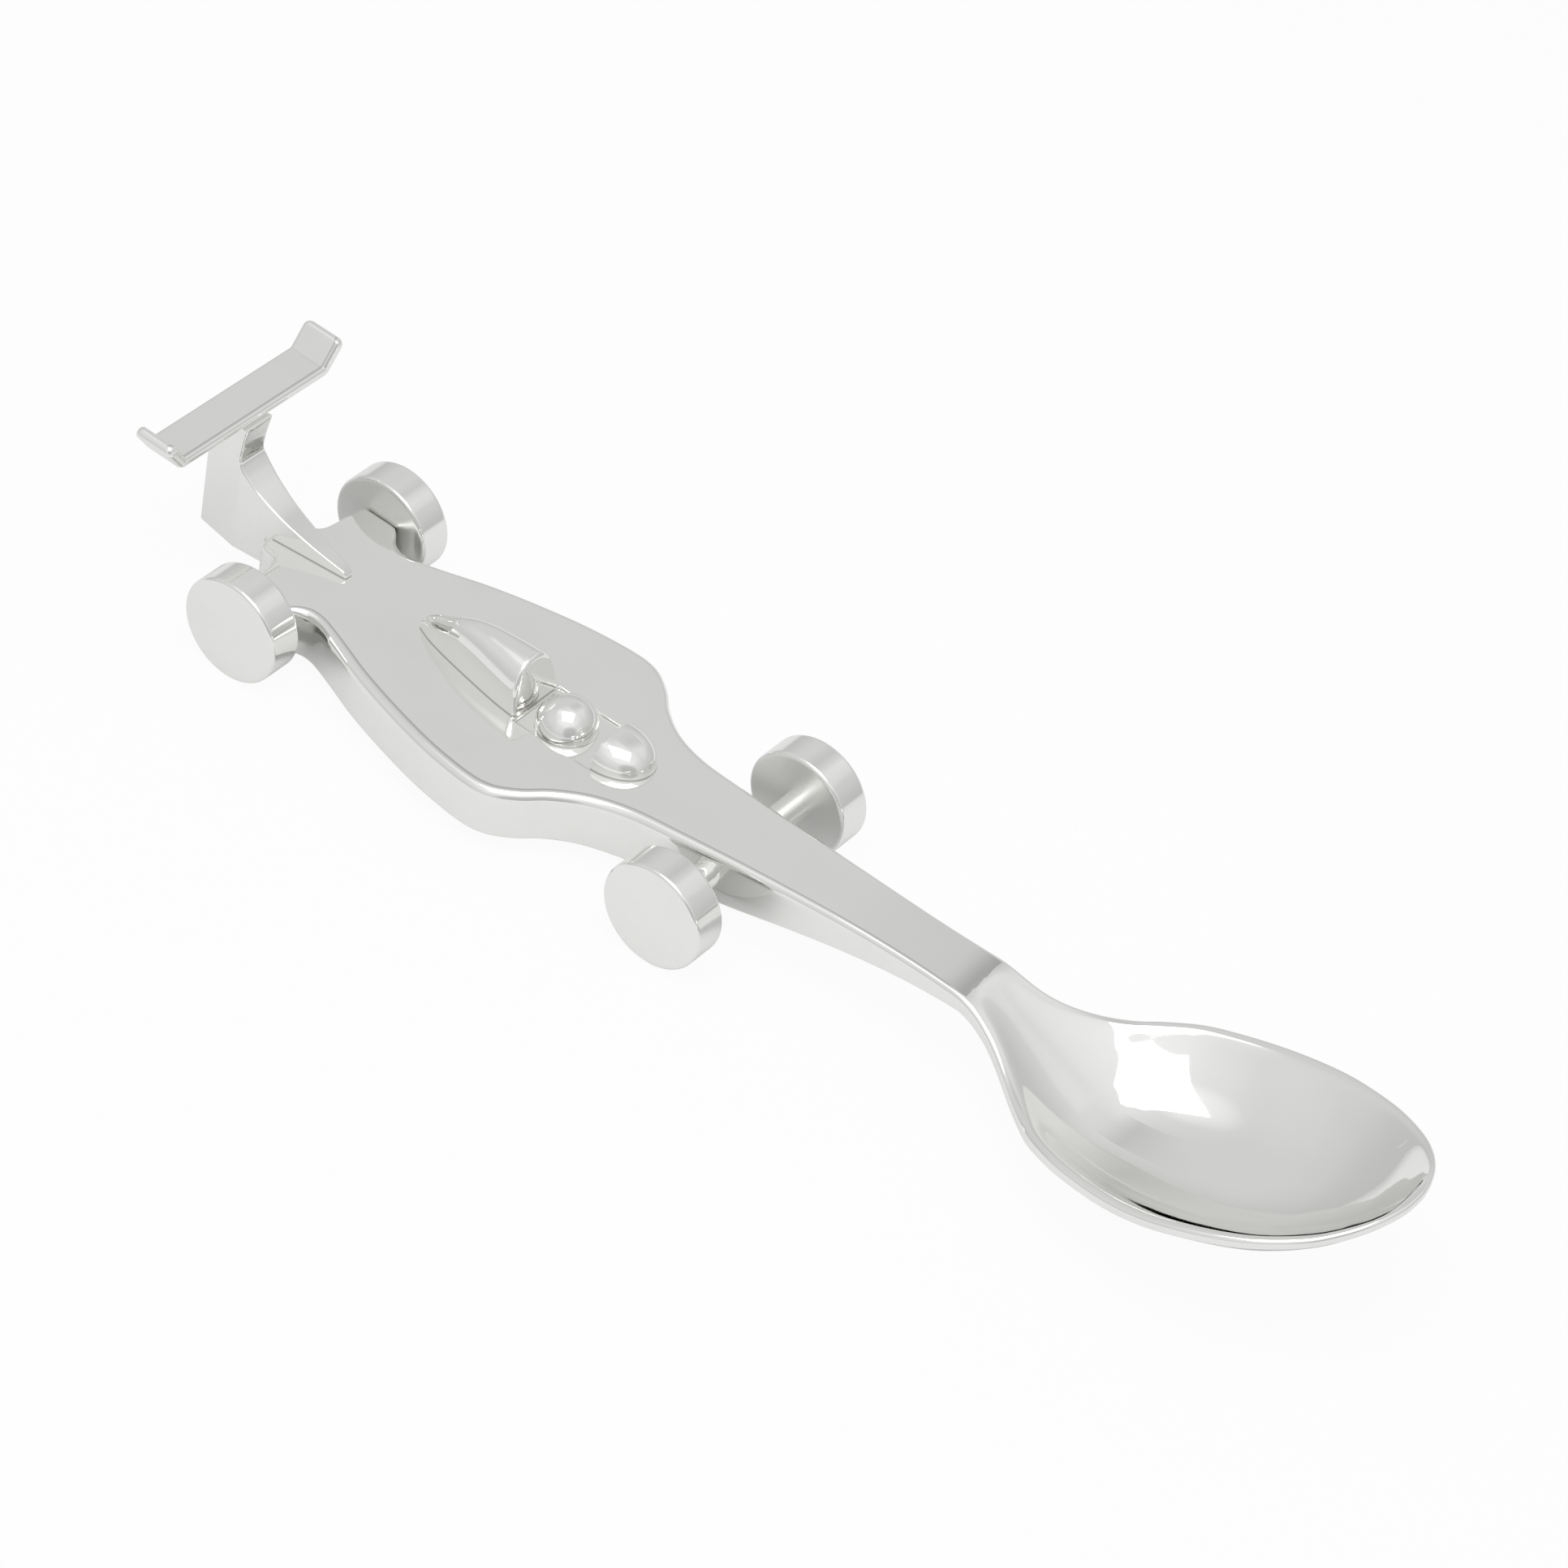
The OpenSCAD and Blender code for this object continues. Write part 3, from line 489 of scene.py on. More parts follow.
def fin_grids(s):
    """Fin: level sections stacked upwards. Each section is a wedge in plan, thickest at the crease; its
    front follows the swept outline, its four corners are rounded, and its lower rear corner is bevelled.
    Below its seat the front stops behind the tail."""
    a = layout(s)
    seat = a.deck - s.fin_seat
    bottom = a.axle - s.fin_drop
    fin_length = s.fin_nose + s.wing_reach - s.wing_chord
    outline = np.array(FIN) * [-fin_length, a.wing_under - seat] + [s.fin_nose, seat]
    let_in, tail_gap, crease_gap = 0.15 * MILLI, 0.03 * MILLI, 0.4 * MILLI
    step_low, step_middle, step_high, nose_gap = np.array([0.02, 0.04, 0.06, 0.05]) * MILLI
    sole = np.unique(np.concatenate([FIN_SOLE[:, 0], [0.3, s.fin_bevel / MILLI, 0.75, 1.5]]))
    z = np.concatenate([
        bottom + sole * MILLI,
        np.linspace(bottom + 2 * MILLI, seat + step_low, 6),
        np.linspace(seat + step_high, outline[0, 1] - nose_gap, 5),
        np.linspace(outline[0, 1], outline[-1, 1], 80),
        [a.wing_under + let_in]])
    front = smooth_at(outline[:, ::-1], np.clip(z, outline[0, 1], outline[-1, 1]))
    front = np.where(z < seat + step_middle, -s.tail_reach - tail_gap, front)
    rear = -s.wing_reach + np.clip(s.fin_bevel - (z - bottom), 0, None)
    crease = np.minimum(-s.fin_mid, front - crease_gap)
    plan = np.array([
        [-s.wing_reach, s.fin_rear_half], [-s.fin_mid, s.fin_mid_half], [s.fin_nose, s.fin_nose_half]])

    def half(x):
        return np.interp(x, plan[:, 0], plan[:, 1])

    wide = half(front)
    round_front = np.minimum(0.28 * MILLI, 0.4 * wide)
    round_rear = 0.25 * MILLI
    face = np.array([0, 0.5, 0.93])
    flats, rounds = len(face), 8
    turn = quarter(rounds)
    dense = (1 - np.cos(np.pi * np.linspace(0, 1, 16))) / 2
    x = np.concatenate([
        np.repeat(front[:, None], flats, 1),
        front[:, None] - round_front[:, None] * (1 - np.cos(turn)),
        (front - round_front)[:, None] + (crease - front + round_front)[:, None] * dense[1:],
        crease[:, None] + (rear + round_rear - crease)[:, None] * dense[1:],
        rear[:, None] + round_rear * (1 - np.sin(turn[1:])),
        np.repeat(rear[:, None], flats, 1)], 1)
    y = half(x)
    y[:, :flats] = (wide - round_front)[:, None] * face
    y[:, flats:flats + rounds] -= round_front[:, None] * (1 - np.sin(turn))
    y[:, 1 - flats - rounds:-flats] -= round_rear * (1 - np.cos(turn[1:]))
    y[:, -flats:] = (half(rear) - round_rear)[:, None] * face[::-1]
    trim = np.interp(z, bottom + FIN_SOLE[:, 0] * MILLI, FIN_SOLE[:, 1] * MILLI)
    y = np.maximum(y - trim[:, None], 0)
    x = x + a.shift
    level = np.broadcast_to(z[:, None], x.shape)
    far, near = np.stack([x, y, level], -1), np.stack([x, -y, level], -1)
    fade = np.linspace(1, 0, 5)[:, None, None] * [0, 1, 0] + [1, 0, 1]
    return [far, near, far[:1] * fade, near[:1] * fade, far[-1:] * fade, near[-1:] * fade]


def wing_grids(s):
    """Wing: a rounded bar section carried along a path that runs flat across the car and bends up at both
    ends; the chord and the thickness draw in along quarter circles at the tips."""
    a = layout(s)
    bend, tip_round, edge_round, flat_gap = np.array([0.3, 0.5, 0.5, 0.05]) * MILLI
    edge_limit = 0.98
    steps = 12
    lean = math.atan2(s.plate_rise, s.plate_out)
    thick = s.wing_thickness
    corner = s.wing_half + thick / 2 * math.tan(lean / 2)
    end_y = s.wing_half + s.plate_out + thick / 2 * math.sin(lean)
    end_z = s.plate_rise + thick / 2 - thick / 2 * math.cos(lean)
    arm = math.hypot(end_y - corner, end_z) - bend
    radius = bend / math.tan(lean / 2)
    flat = corner - bend
    total = flat + radius * lean + arm
    even = np.linspace(0, 1, steps)
    run = np.concatenate([
        np.linspace(0, flat - flat_gap, steps), flat + even * radius * lean,
        flat + radius * lean + arm * (0.04 + 0.94 * even ** 0.7),
        total - tip_round * (1 - np.sin(quarter(steps)))])
    run = np.unique(np.round(run, 9))
    run = np.concatenate([-run[:0:-1], run])
    side, far = np.sign(run), np.abs(run)
    angle = np.clip((far - flat) / (radius * lean), 0, 1) * lean
    past = np.clip(far - flat - radius * lean, 0, None)
    cy = np.minimum(far, flat) + radius * np.sin(angle) + past * np.cos(angle)
    cz = radius * (1 - np.cos(angle)) + past * np.sin(angle)
    left = total - far

    def drawn_in(limit):
        inside = np.clip(limit - left, 0, limit)
        return limit - np.sqrt(np.maximum(limit ** 2 - inside ** 2, 0))

    half_c = s.wing_chord / 2 - drawn_in(s.plate_corner)
    half_t = thick / 2 - drawn_in(tip_round)
    r = np.minimum(edge_round, half_t * edge_limit)
    ones = np.ones(len(FLAT_STEPS))
    loop_c, loop_n = [], []
    for sc, sn, start in ((1, 1, 0), (-1, 1, 1), (-1, -1, 2), (1, -1, 3)):
        swing = quarter(WING_ROUND_STEPS) + start * np.pi / 2
        loop_c.append(sc * (half_c - r)[:, None] + r[:, None] * np.cos(swing))
        loop_n.append(sn * (half_t - r)[:, None] + r[:, None] * np.sin(swing))
        if start % 2 == 0:
            loop_c.append(sc * (half_c - r)[:, None] * (1 - 2 * FLAT_STEPS))
            loop_n.append(sn * half_t[:, None] * ones)
        else:
            loop_c.append(sc * half_c[:, None] * ones)
            loop_n.append(sn * (half_t - r)[:, None] * (1 - 2 * FLAT_STEPS))
    c, n = np.concatenate(loop_c, 1), np.concatenate(loop_n, 1)
    c, n = np.concatenate([c, c[:, :1]], 1), np.concatenate([n, n[:, :1]], 1)
    y = side[:, None] * (cy[:, None] - n * np.sin(angle)[:, None])
    z = a.wing_top - thick / 2 + cz[:, None] + n * np.cos(angle)[:, None]
    x = a.shift - s.wing_reach + s.wing_chord / 2 + c
    grid = np.stack([x, y, z], -1)
    return [grid] + [lid(row, row.mean(0), WING_LID_STEPS) for row in (grid[0], grid[-1])]


def wheel_grids(s, station, side):
    """Wheel: a flat disc profile with quarter-round rims, turned round the cross axis."""
    a = layout(s)
    radius, edge, width = s.wheel_diameter / 2, s.wheel_edge, s.wheel_width
    t = quarter(9)
    rim = radius - edge
    face = np.array([0, 0.3, 0.6, 0.85, 0.985]) * rim
    outer = np.stack([rim + edge * np.sin(t), width - edge * (1 - np.cos(t))], -1)
    inner = np.stack([rim + edge * np.cos(t), edge * (1 - np.sin(t))], -1)
    tread = width - edge - (width - 2 * edge) * FLAT_STEPS
    profile = np.concatenate([
        np.stack([face, np.full(len(face), width)], -1), outer,
        np.stack([np.full(len(tread), radius), tread], -1), inner,
        np.stack([face[::-1], np.zeros(len(face))], -1)])
    profile[:, 1] = side * (profile[:, 1] + s.wheel_gauge / 2)
    return [turned_grid(profile, (a.shift + station, 0, a.axle), "Y", WHEEL_SIDES)]


def axle_grids(s, station, diameter):
    """Axle: a straight pin between the wheels, let into them a little, turned round the cross axis."""
    a = layout(s)
    half = s.wheel_gauge / 2 + AXLE_LET_IN
    along = np.concatenate([[-half, -half], np.linspace(-half, half, 9), [half, half]])
    ring = np.full(len(along), diameter / 2)
    ring[[0, -1]] = 0
    return [turned_grid(np.stack([ring, along], -1), (a.shift + station, 0, a.axle), "Y", AXLE_SIDES)]


def blank_marks(grids):
    """No dark line yet: zero for each point of the grids."""
    return [np.zeros(g.shape[:2]) for g in grids]


def body_marks(s, grids):
    """Strength of the painted dark reflection lines along the right-hand edges of the deck, the neck and the
    slot, for each point of the body's grids."""
    along = grids[0][:, :1, 0] - layout(s).shift
    reach_share = 0.48
    handle = np.abs(along - s.neck_reach / 2) < reach_share * s.neck_reach
    slot = (along > s.fairing_station) & (along < s.cowl_station)
    marks = blank_marks(grids)
    marks[0][:, :3] = handle * [1, 0.8, 0.4]
    marks[0][:, SIDE_COLUMNS:SIDE_COLUMNS + 3] = slot * [0.4, 1, 0.2]
    marks[2][:, :2] = handle * [1, 0.3]
    return marks


def wing_marks(grids):
    """Strength of the painted dark reflection line along the wing's front upper edge, for each point of its
    grids.
    """
    marks = blank_marks(grids)
    marks[0][:, WING_ROUND_STEPS - 2:WING_ROUND_STEPS] = [0.4, 0.9]
    return marks


def keep_values(mesh, key, values):
    """Keeps one number for each point on the mesh."""
    mesh.attributes.new(key, "FLOAT", "POINT").data.foreach_set("value", values.astype(np.float32))


def shell(name, grids, sharp=SMOOTH_DEGREES, marks=None):
    """Mesh object from grids of points: quads between neighbours, seams merged, faces outwards, smooth up
    to sharp degrees; marks are kept on the mesh."""
    faces, base = [], 0
    for g in grids:
        index = base + np.arange(g.shape[0] * g.shape[1]).reshape(g.shape[:2])
        corners = [index[:-1, :-1], index[1:, :-1], index[1:, 1:], index[:-1, 1:]]
        faces.append(np.stack(corners, -1).reshape(-1, 4))
        base += index.size
    points = np.concatenate([g.reshape(-1, 3) for g in grids])
    mesh = bpy.data.meshes.new(name)
    mesh.from_pydata(points.tolist(), [], np.concatenate(faces).tolist())
    # The crease values are the strengths of painted dark reflection lines
    if marks:
        keep_values(mesh, "crease", np.concatenate([m.ravel() for m in marks]))
    work = bmesh.new()
    work.from_mesh(mesh)
    bmesh.ops.remove_doubles(work, verts=work.verts, dist=MERGE)
    bmesh.ops.recalc_face_normals(work, faces=work.faces)
    work.to_mesh(mesh)
    work.free()
    mesh.polygons.foreach_set("use_smooth", np.ones(len(mesh.polygons), bool))
    mesh.set_sharp_from_angle(angle=math.radians(sharp))
    mesh.update()
    piece = bpy.data.objects.new(name, mesh)
    bpy.context.scene.collection.objects.link(piece)
    return piece


def mark_foot(mesh, ground):
    """Keeps on the mesh each point's height above the ground, in millimetres; ground gives it along the
    body."""
    points = np.empty(3 * len(mesh.vertices), np.float32)
    mesh.vertices.foreach_get("co", points)
    points = points.reshape(-1, 3)
    keep_values(mesh, "foot", (points[:, 2] - ground(points[:, 0])) / MILLI)


class Value:
    """A number that changes over a surface: wraps a socket, and sums written on it add Math nodes."""

    def __init__(self, nodes, socket):
        self.nodes, self.socket = nodes, socket

    def math(self, operation, *values):
        return self.nodes.add("ShaderNodeMath", {"operation": operation}, dict(enumerate(values)))

    def __add__(self, other):
        return self.math("ADD", self, other)

    def __radd__(self, other):
        return self.math("ADD", other, self)

    def __sub__(self, other):
        return self.math("SUBTRACT", self, other)

    def __rsub__(self, other):
        return self.math("SUBTRACT", other, self)

    def __mul__(self, other):
        return self.math("MULTIPLY", self, other)

    def __rmul__(self, other):
        return self.math("MULTIPLY", other, self)

    def __truediv__(self, other):
        return self.math("DIVIDE", self, other)

    def __lt__(self, other):
        return self.math("LESS_THAN", self, other)

    def __gt__(self, other):
        return self.math("GREATER_THAN", self, other)

    def __abs__(self):
        return self.math("ABSOLUTE", self)

    def most(self, other):
        return self.math("MAXIMUM", self, other)

    def step(self, low, high):
        """Soft step from 0 at low to 1 at high."""
        return self.nodes.add("ShaderNodeMapRange", {"interpolation_type": "SMOOTHSTEP"},
                              {"Value": self, "From Min": low, "From Max": high})

    def out(self, name):
        return Value(self.nodes, self.socket.node.outputs[name])


class Nodes:
    """Node tree of a material or world; add makes every node."""

    def __init__(self, owner):
        owner.use_nodes = True
        self.tree = owner.node_tree
        self.tree.nodes.clear()

    def add(self, kind, settings=None, inputs=None, output=0):
        node = self.tree.nodes.new(kind)
        for key, value in (settings or {}).items():
            setattr(node, key, value)
        for key, value in (inputs or {}).items():
            if isinstance(value, Value):
                self.tree.links.new(value.socket, node.inputs[key])
            else:
                node.inputs[key].default_value = value
        return Value(self, node.outputs[output]) if node.outputs else None

    def blend(self, factor, one, two):
        """Mix of two colours."""
        return self.add("ShaderNodeMix", {"data_type": "RGBA"}, {0: factor, 6: one, 7: two}, output=2)

    def directions(self, kind):
        """The three parts of a texture coordinate."""
        vector = self.add("ShaderNodeTexCoord", output=kind)
        axes = self.add("ShaderNodeSeparateXYZ", {}, {"Vector": vector})
        return axes.out("X"), axes.out("Y"), axes.out("Z")

    def end(self, surface, kind="Material"):
        """Ends the tree with its output node."""
        self.add("ShaderNodeOutput" + kind, {}, {"Surface": surface})


def opaque(colour):
    """A colour with its alpha."""
    return tuple(colour) + (1,)


def silver(name, place, foot, lines, bend, inner):
    """Mirror-polished silver: broad polishing waves and finer ripples in the bump, hairline scratches and
    handling in the roughness, a faint cloudiness in the colour and sparse tiny pits. place moves the
    pattern. foot adds a thin line of painted shade where the piece meets the body. lines adds the painted
    dark reflection lines marked on the mesh. bend, a place along the body, adds a painted dark band and a
    painted dark line before the neck's bend. inner, a distance and a strength, darkens the faces within
    that distance of the car's middle with painted shade and dulls them with roughness."""
    finish = bpy.context.scene.spoon_finish
    material = bpy.data.materials.new(name)
    n = Nodes(material)
    spot = n.add("ShaderNodeTexCoord", output="Object")
    where = n.add("ShaderNodeMapping", {}, {"Vector": spot, "Location": place})

    def noise(scale, detail, vector=where):
        return n.add("ShaderNodeTexNoise", {}, {
            "Vector": vector, "Scale": scale, "Detail": detail, "Roughness": 0.5})

    def marked(key):
        return n.add("ShaderNodeAttribute", {"attribute_name": key}, output="Fac")

    broad, ripple, cloud = noise(BROAD_SCALE, 1), noise(RIPPLE_SCALE, 1), noise(CLOUD_SCALE, 3)
    drawn = n.add("ShaderNodeMapping", {}, {
        "Vector": where, "Scale": (0.12, 1, 1), "Rotation": (0, 0, 0.35)})
    hair = noise(HAIR_SCALE, 2, drawn)
    pits = n.add("ShaderNodeTexVoronoi", {"feature": "F1"}, {
        "Vector": where, "Scale": PIT_SCALE, "Randomness": 1.0})
    kept = n.add("ShaderNodeSeparateColor", {}, {"Color": pits.out("Color")})
    pit_size, pit_rarity, cloud_shade, cloud_share = 0.026, 0.62, 0.955, 0.5
    shade = opaque(cloud_shade * c for c in finish.silver)
    tint = n.blend(cloud.step(0.4, 0.75) * cloud_share, opaque(finish.silver), shade)
    # Real stain in the tiny pits; the painted shade and painted reflection lines below join this mask
    stain_and_shade = (pits < pit_size) * (kept > pit_rarity) * PIT_STAIN
    # Painted shade: a thin dark line at the piece's foot, where it meets the body
    if foot:
        stain_and_shade = stain_and_shade.most(FOOT_SHADE * (1.0 - marked("foot").step(0.04, 0.22)))
    # Painted reflection: the fine dark lines marked along edges on the mesh
    if lines:
        stain_and_shade = stain_and_shade.most(REFLECTION_LINE_DARK * marked("crease"))
    # Painted shade: a dark band and a dark line just before the neck's bend
    if bend:
        x, y = n.directions("Object")[:2]
        slant, waver, half_width = 0.06, 0.5, 2.95 * MILLI
        past = (x - bend + slant * y) / MILLI + waver * ripple - waver / 2
        zone = past.step(-3.2, 0.0) * (past < 0.0)
        line = (1.0 - abs(past).step(0.03, 0.1)) * (noise(BREAK_SCALE, 1) > 0.42)
        stain_and_shade = stain_and_shade.most((BEND_BAND_SHADE * zone).most(BEND_LINE_SHADE * line) * (abs(y) < half_width))
    tint = n.blend(stain_and_shade, tint, opaque(finish.speck_and_shade))
    hair_roughness, stain_and_shade_roughness, dull_roughness = 0.012, 0.25, 0.28
    rough = finish.polish + finish.wear * cloud.step(0.45, 0.8)
    rough = rough + hair_roughness * hair.step(0.55, 0.75) + stain_and_shade_roughness * stain_and_shade
    # Painted shade on the faces near the car's middle; the added roughness dulls them as well
    if inner:
        reach, inner_shade = inner
        shade_and_dull_side = abs(n.directions("Object")[1]) < reach
        tint = n.blend(inner_shade * shade_and_dull_side, tint, opaque(finish.speck_and_shade))
        rough = rough + dull_roughness * shade_and_dull_side
    ripple_share, hair_height = 0.09, 0.0006 * MILLI
    height = broad * finish.waves + ripple * (finish.waves * ripple_share) + hair * hair_height
    bump = n.add("ShaderNodeBump", {}, {"Height": height, "Strength": 1.0, "Distance": 1.0})
    n.end(n.add("ShaderNodeBsdfPrincipled", {}, {
        "Base Color": tint, "Roughness": rough, "Metallic": 1.0, "Normal": bump}))
    return material


def dress(name, grids, body, nodes, place, ground=None, bend=None, inner=None, marks=None,
          sharp=SMOOTH_DEGREES):
    """Makes a piece, gives it its silver, lets it ride on its body and stand for its nodes."""
    piece = shell(name, grids, sharp, marks)
    if ground:
        mark_foot(piece.data, ground)
    piece.data.materials.append(silver("silver_" + name, place, bool(ground), bool(marks), bend, inner))
    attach(piece, body)
    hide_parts(*nodes)


class SPOON_OT_body(bpy.types.Operator):
    """Body: tail, arms, deck with cockpit slot, neck and bowl as one skin"""

    bl_idname = "spoon.body"
    bl_label = "Spoon body"

    def execute(self, context):
        s = context.scene.spoon_sizes
        grids = body_grids(s)
        # The body's marks give painted dark reflection lines; bend places a painted dark band and line
        # before the neck's bend
        dress("polished_body", grids, "spoon", ["spoon_body"], (0, 0, 0),
              bend=layout(s).shift + s.neck_reach, marks=body_marks(s, grids))
        return {"FINISHED"}


class SPOON_OT_cockpit(bpy.types.Operator):
    """Cockpit: fairing behind the slot, helmet in it and cowl ahead of it"""

    bl_idname = "spoon.cockpit"
    bl_label = "Cockpit pieces"

    def execute(self, context):
        s = context.scene.spoon_sizes
        a = layout(s)

        # Height of the deck, the ground of the painted shade line at each cockpit piece's foot
        def deck(x):
            return edge_height(a, x - a.shift)

        dress("polished_fairing", fairing_grids(s), "spoon", ["headrest_fairing"],
              (0.3, 0.1, 0), deck)
        dress("polished_helmet", helmet_grids(s), "spoon", ["driver_helmet"],
              (0.5, 0, 0.1), lambda x: a.slot)
        dress("polished_cowl", cowl_grids(s), "spoon", ["cockpit_cowl"],
              (0.7, 0, 0), deck)
        return {"FINISHED"}


class SPOON_OT_wing(bpy.types.Operator):
    """Fin on the tail and the wing with turned-up ends on it"""

    bl_idname = "spoon.wing"
    bl_label = "Fin and wing"

    def execute(self, context):
        s = context.scene.spoon_sizes
        a = layout(s)
        fin_sharp = 20
        # The fin gets a painted shade line at its foot on the deck
        dress("polished_fin", fin_grids(s), "spoon", ["wing_pylon"], (0, 0.4, 0),
              lambda x: np.where(x < a.shift - s.tail_reach, 0, a.deck), sharp=fin_sharp)
        grids = wing_grids(s)
        # The wing's marks give a painted dark reflection line along its front upper edge
        dress("polished_wing", grids, "spoon", ["rear_wing"], (0, 0.6, 0.2),
              marks=wing_marks(grids))
        return {"FINISHED"}


class SPOON_OT_axles(bpy.types.Operator):
    """Front and rear axle pins"""

    bl_idname = "spoon.axles"
    bl_label = "Axles"

    def execute(self, context):
        s = context.scene.spoon_sizes
        dress("polished_front_axle", axle_grids(s, s.wheelbase, s.front_axle), "front_wheelset",
              ["front_axle"], (0.2, 0.2, 0))
        dress("polished_rear_axle", axle_grids(s, 0, s.rear_axle), "rear_wheelset",
              ["rear_axle"], (0.2, 0.5, 0))
        return {"FINISHED"}


class SPOON_OT_wheels(bpy.types.Operator):
    """Four plain disc wheels"""

    bl_idname = "spoon.wheels"
    bl_label = "Wheels"

    def execute(self, context):
        s = context.scene.spoon_sizes
        inner_face = s.wheel_gauge / 2 + 0.12 * MILLI
        # The last number is the strength of the painted shade on each wheel's inner face
        for end, station, inner_shade in (("front", s.wheelbase, 0.08), ("rear", 0.0, 0.3)):
            for hand, side in (("right", -1), ("left", 1)):
                dress("polished_%s_%s_wheel" % (end, hand), wheel_grids(s, station, side), end + "_wheelset",
                      ["%s_%s_wheel" % (end, hand)], (0.1 * side, 0.3, station * 9),
                      inner=(inner_face, inner_shade))
        return {"FINISHED"}


def studio(world):
    """Pale tent worked out from the direction alone: darker towards the table and at the far right,
    lighter on the viewer's side and towards the bowl, with a broad soft glow above the viewer, a small
    bright zone beside the lamp, a faint lift high at the far right and a dimmer patch low on the viewer's
    right."""
    n = Nodes(world)
    x, y, z = n.directions("Generated")
    up = z.most(0.05)

    def overhead(right, back, near, far):
        """Round patch of the sky about a point given by its slopes, fading between two squared distances."""
        u, v = x / up - right, y / up - back
        return (1.0 - (u * u + v * v).step(near, far)) * z.step(0.15, 0.45)

    level, rise, front = 0.55, 0.115 * z.step(0.0, 0.6), 0.06 * (0.0 - y).step(-0.1, 0.6)
    glow = 0.14 * overhead(0.3, -0.45, 0.05, 1.4)
    zone = 0.13 * overhead(-0.45, -0.27, 0.01, 0.09)
    lift = 0.07 * x.step(0.0, 0.25) * y.step(0.35, 0.6) * z.step(0.5, 0.62)
    bowl_side, far_right = 0.055 * x.step(-0.4, 0.05), 0.06 * (0.7 * x + 0.7 * y).step(0.6, 0.85)
    dim = 0.3 * (0.74 * x - 0.62 * y + 0.26 * z).step(0.86, 0.98)
    light = (level + rise + front + glow + zone + lift + bowl_side - far_right) * (1.0 - dim)
    n.end(n.add("ShaderNodeBackground", {}, {"Color": light}), "World")


def softbox(scene):
    """Level lamp cloth above the table, on the viewer's side of the car, with its sides turned to the
    viewer; the camera doesn't see it."""
    radiance = 2.4
    lamp = bpy.data.lights.new("softbox", "AREA")
    lamp.shape, lamp.size, lamp.size_y = "RECTANGLE", 0.22, 0.198
    lamp.energy = radiance * math.pi * lamp.size * lamp.size_y
    cloth = bpy.data.objects.new("softbox", lamp)
    cloth.location, cloth.rotation_euler = (0.025, -0.079, 0.3), (0, 0, math.radians(33))
    cloth.visible_camera = False
    scene.collection.objects.link(cloth)


def flag():
    """Soft dark cloth behind the car, seen only in the mirrors of the metal; its darkness falls evenly to
    both sides."""
    centre, half, reach, darkest = np.array([-0.035, 0.146, 0.212]), 0.08, 0.09, 0.16
    rise = np.cross([1, 0, 0], centre / np.linalg.norm(centre))
    across, along = np.meshgrid(np.linspace(-half, half, 5), np.linspace(-reach, reach, 5), indexing="ij")
    cloth = shell("flag", [centre + across[..., None] * [1, 0, 0] + along[..., None] * rise])
    material = bpy.data.materials.new("dark_cloth")
    n = Nodes(material)
    x = n.directions("Object")[0]
    dark = (1.0 - abs(x - centre[0]) / half).most(0.0) * darkest
    clear, black = n.add("ShaderNodeBsdfTransparent"), n.add("ShaderNodeEmission", {}, {"Strength": 0.0})
    n.end(n.add("ShaderNodeMixShader", {}, {0: dark, 1: clear, 2: black}))
    cloth.data.materials.append(material)
    for ray in ("camera", "diffuse", "transmission", "shadow"):
        setattr(cloth, "visible_" + ray, False)


def table_finish(colour):
    """Pale table: nearly plain white where the camera sees it, a little of that white in mirrors, the
    rest lit, so that a faint shadow stays."""
    to_camera, in_mirrors = 0.94, 0.15
    material = bpy.data.materials.new("pale_table")
    n = Nodes(material)
    ray = n.add("ShaderNodeLightPath")
    mirrored = ray.out("Is Glossy Ray").most(ray.out("Is Transmission Ray"))
    seen = to_camera * ray.out("Is Camera Ray") + in_mirrors * mirrored
    lit = n.add("ShaderNodeBsdfDiffuse", {}, {"Color": opaque(colour)})
    white = n.add("ShaderNodeEmission", {}, {"Color": (1, 1, 1, 1), "Strength": 1.0})
    n.end(n.add("ShaderNodeMixShader", {}, {0: seen, 1: lit, 2: white}))
    return material


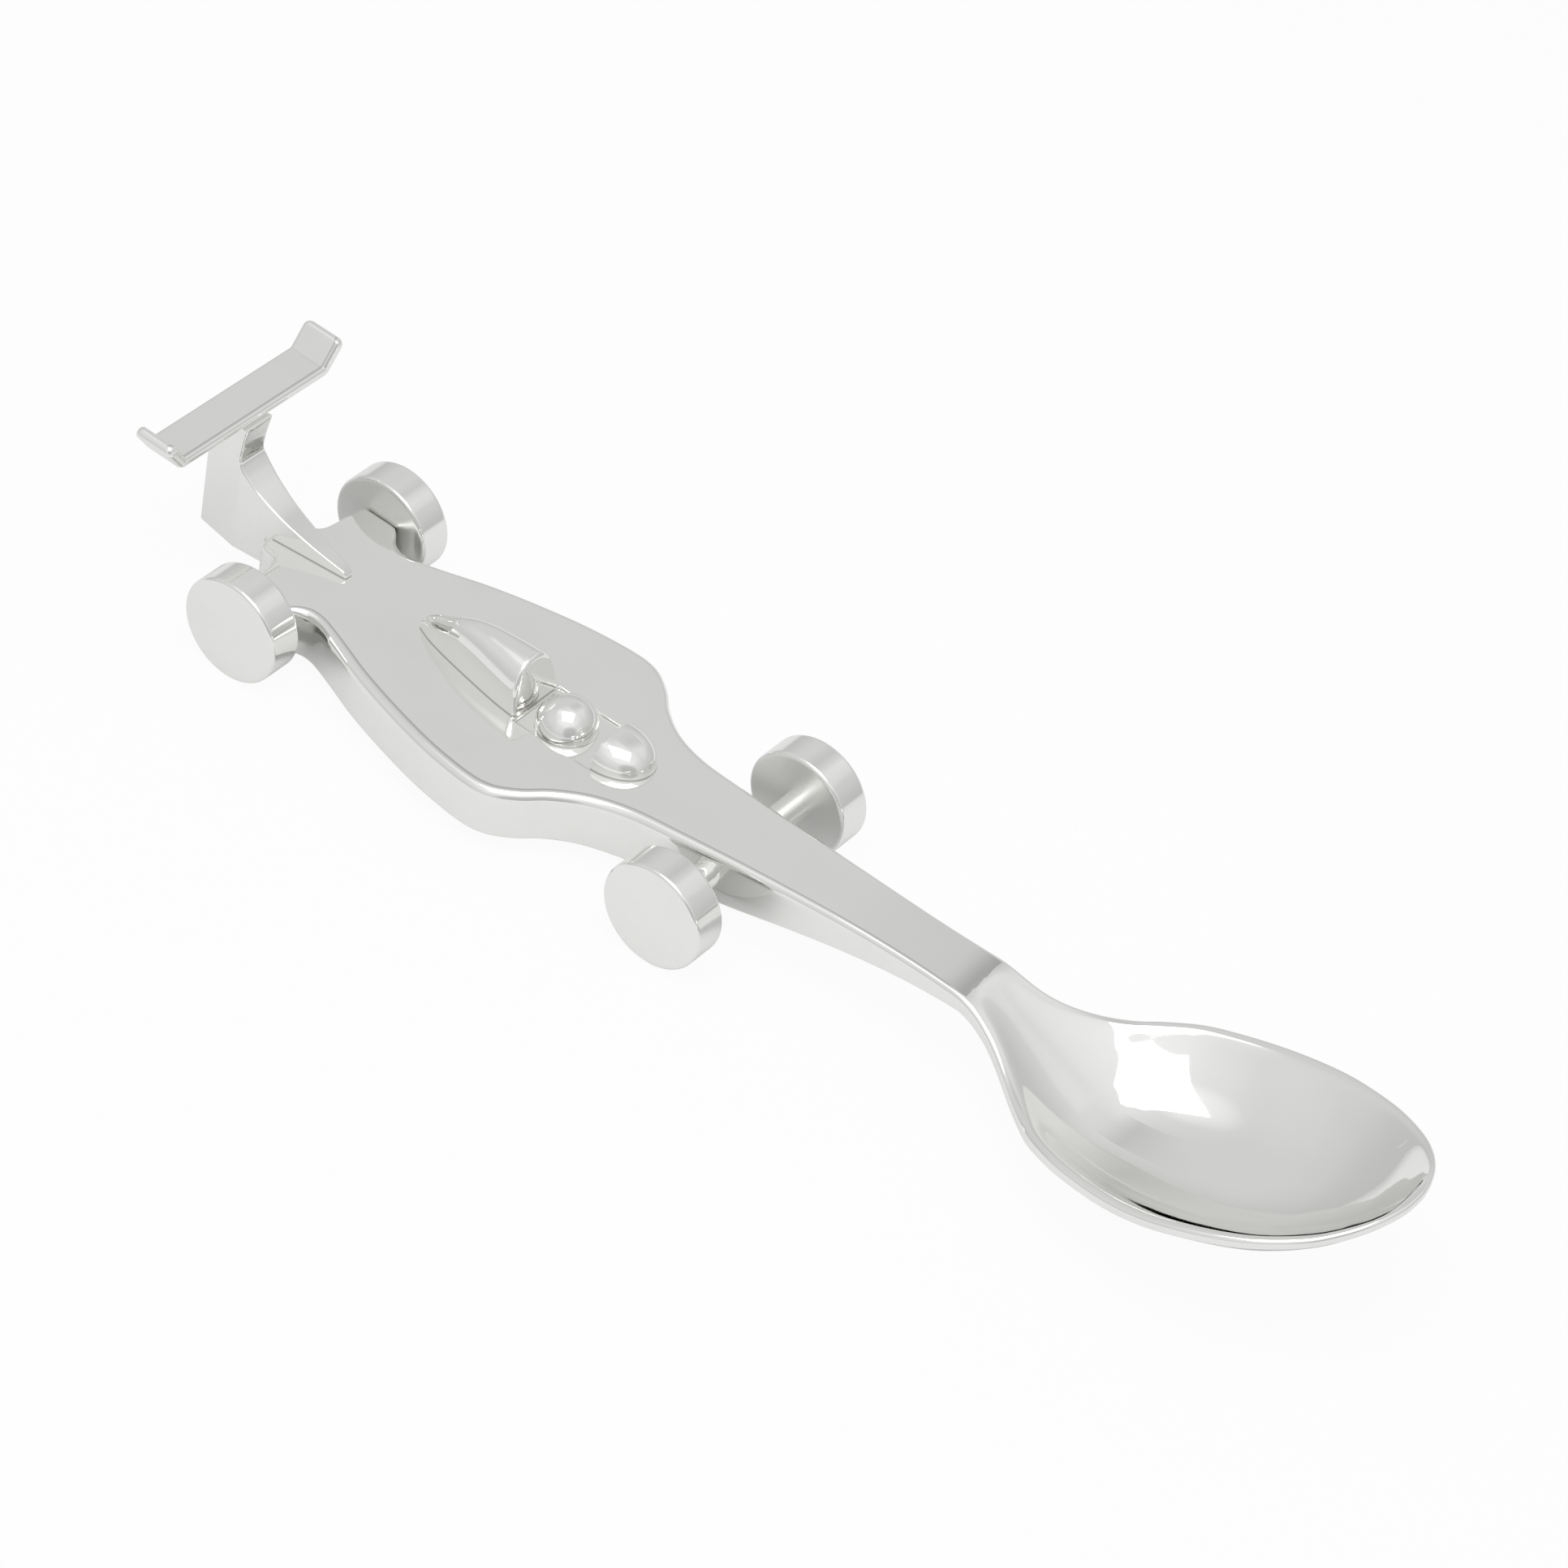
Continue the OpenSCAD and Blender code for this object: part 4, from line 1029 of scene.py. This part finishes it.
def camera(scene):
    """Camera at a fixed place, turned round the table, lifted above it and rolled."""
    turn, lift, roll = (math.radians(d) for d in (30.83222, 42.87641, 11.38626))
    back = Vector((math.sin(turn) * math.cos(lift), -math.cos(turn) * math.cos(lift), math.sin(lift)))
    right = Vector((math.cos(turn), math.sin(turn), 0))
    up = back.cross(right)
    across = math.cos(roll) * right + math.sin(roll) * up
    upright = math.cos(roll) * up - math.sin(roll) * right
    place = Matrix((across, upright, back)).transposed().to_4x4()
    place.translation = (0.21691764, -0.36473255, 0.41121714)
    optics = bpy.data.cameras.new("eye")
    optics.lens, optics.sensor_width, optics.clip_start = 145.86, 36.0, 0.01
    eye = bpy.data.objects.new("eye", optics)
    scene.collection.objects.link(eye)
    eye.matrix_world = place
    scene.camera = eye


class SPOON_OT_stage(bpy.types.Operator):
    """Table, studio tent, lamp, dark cloth and camera"""

    bl_idname = "spoon.stage"
    bl_label = "Stage"

    def execute(self, context):
        scene = context.scene
        scene.view_settings.view_transform = "Standard"
        reach, steps = 3, 13
        line = np.linspace(-reach, reach, steps)
        across, along = np.meshgrid(line, line, indexing="ij")
        table = shell("table", [np.stack([across, along, np.zeros((steps, steps))], -1)])
        table.data.materials.append(table_finish(scene.spoon_finish.floor))
        scene.world = bpy.data.worlds.new("studio")
        studio(scene.world)
        softbox(scene)
        flag()
        camera(scene)
        return {"FINISHED"}


class SPOON_PT_panel(bpy.types.Panel):
    """Buttons for the spoon's pieces"""

    bl_idname = "SPOON_PT_panel"
    bl_label = "Baby spoon"
    bl_space_type = "VIEW_3D"
    bl_region_type = "UI"
    bl_category = "Spoon"

    def draw(self, context):
        for step in STEPS:
            self.layout.operator(step.bl_idname)
        for group in (context.scene.spoon_finish, context.scene.spoon_sizes):
            for key in group.__annotations__:
                self.layout.prop(group, key)


STEPS = (SPOON_OT_body, SPOON_OT_cockpit, SPOON_OT_wing, SPOON_OT_axles, SPOON_OT_wheels, SPOON_OT_stage)
CLASSES = (SpoonSizes, SpoonFinish) + STEPS + (SPOON_PT_panel,)


def register():
    for cls in CLASSES:
        bpy.utils.register_class(cls)
    bpy.types.Scene.spoon_sizes = bpy.props.PointerProperty(type=SpoonSizes)
    bpy.types.Scene.spoon_finish = bpy.props.PointerProperty(type=SpoonFinish)


def unregister():
    del bpy.types.Scene.spoon_finish
    del bpy.types.Scene.spoon_sizes
    for cls in reversed(CLASSES):
        bpy.utils.unregister_class(cls)


def main():
    register()
    bpy.ops.spoon.body()
    bpy.ops.spoon.cockpit()
    bpy.ops.spoon.wing()
    bpy.ops.spoon.axles()
    bpy.ops.spoon.wheels()
    bpy.ops.spoon.stage()


if __name__ == "__main__":
    main()
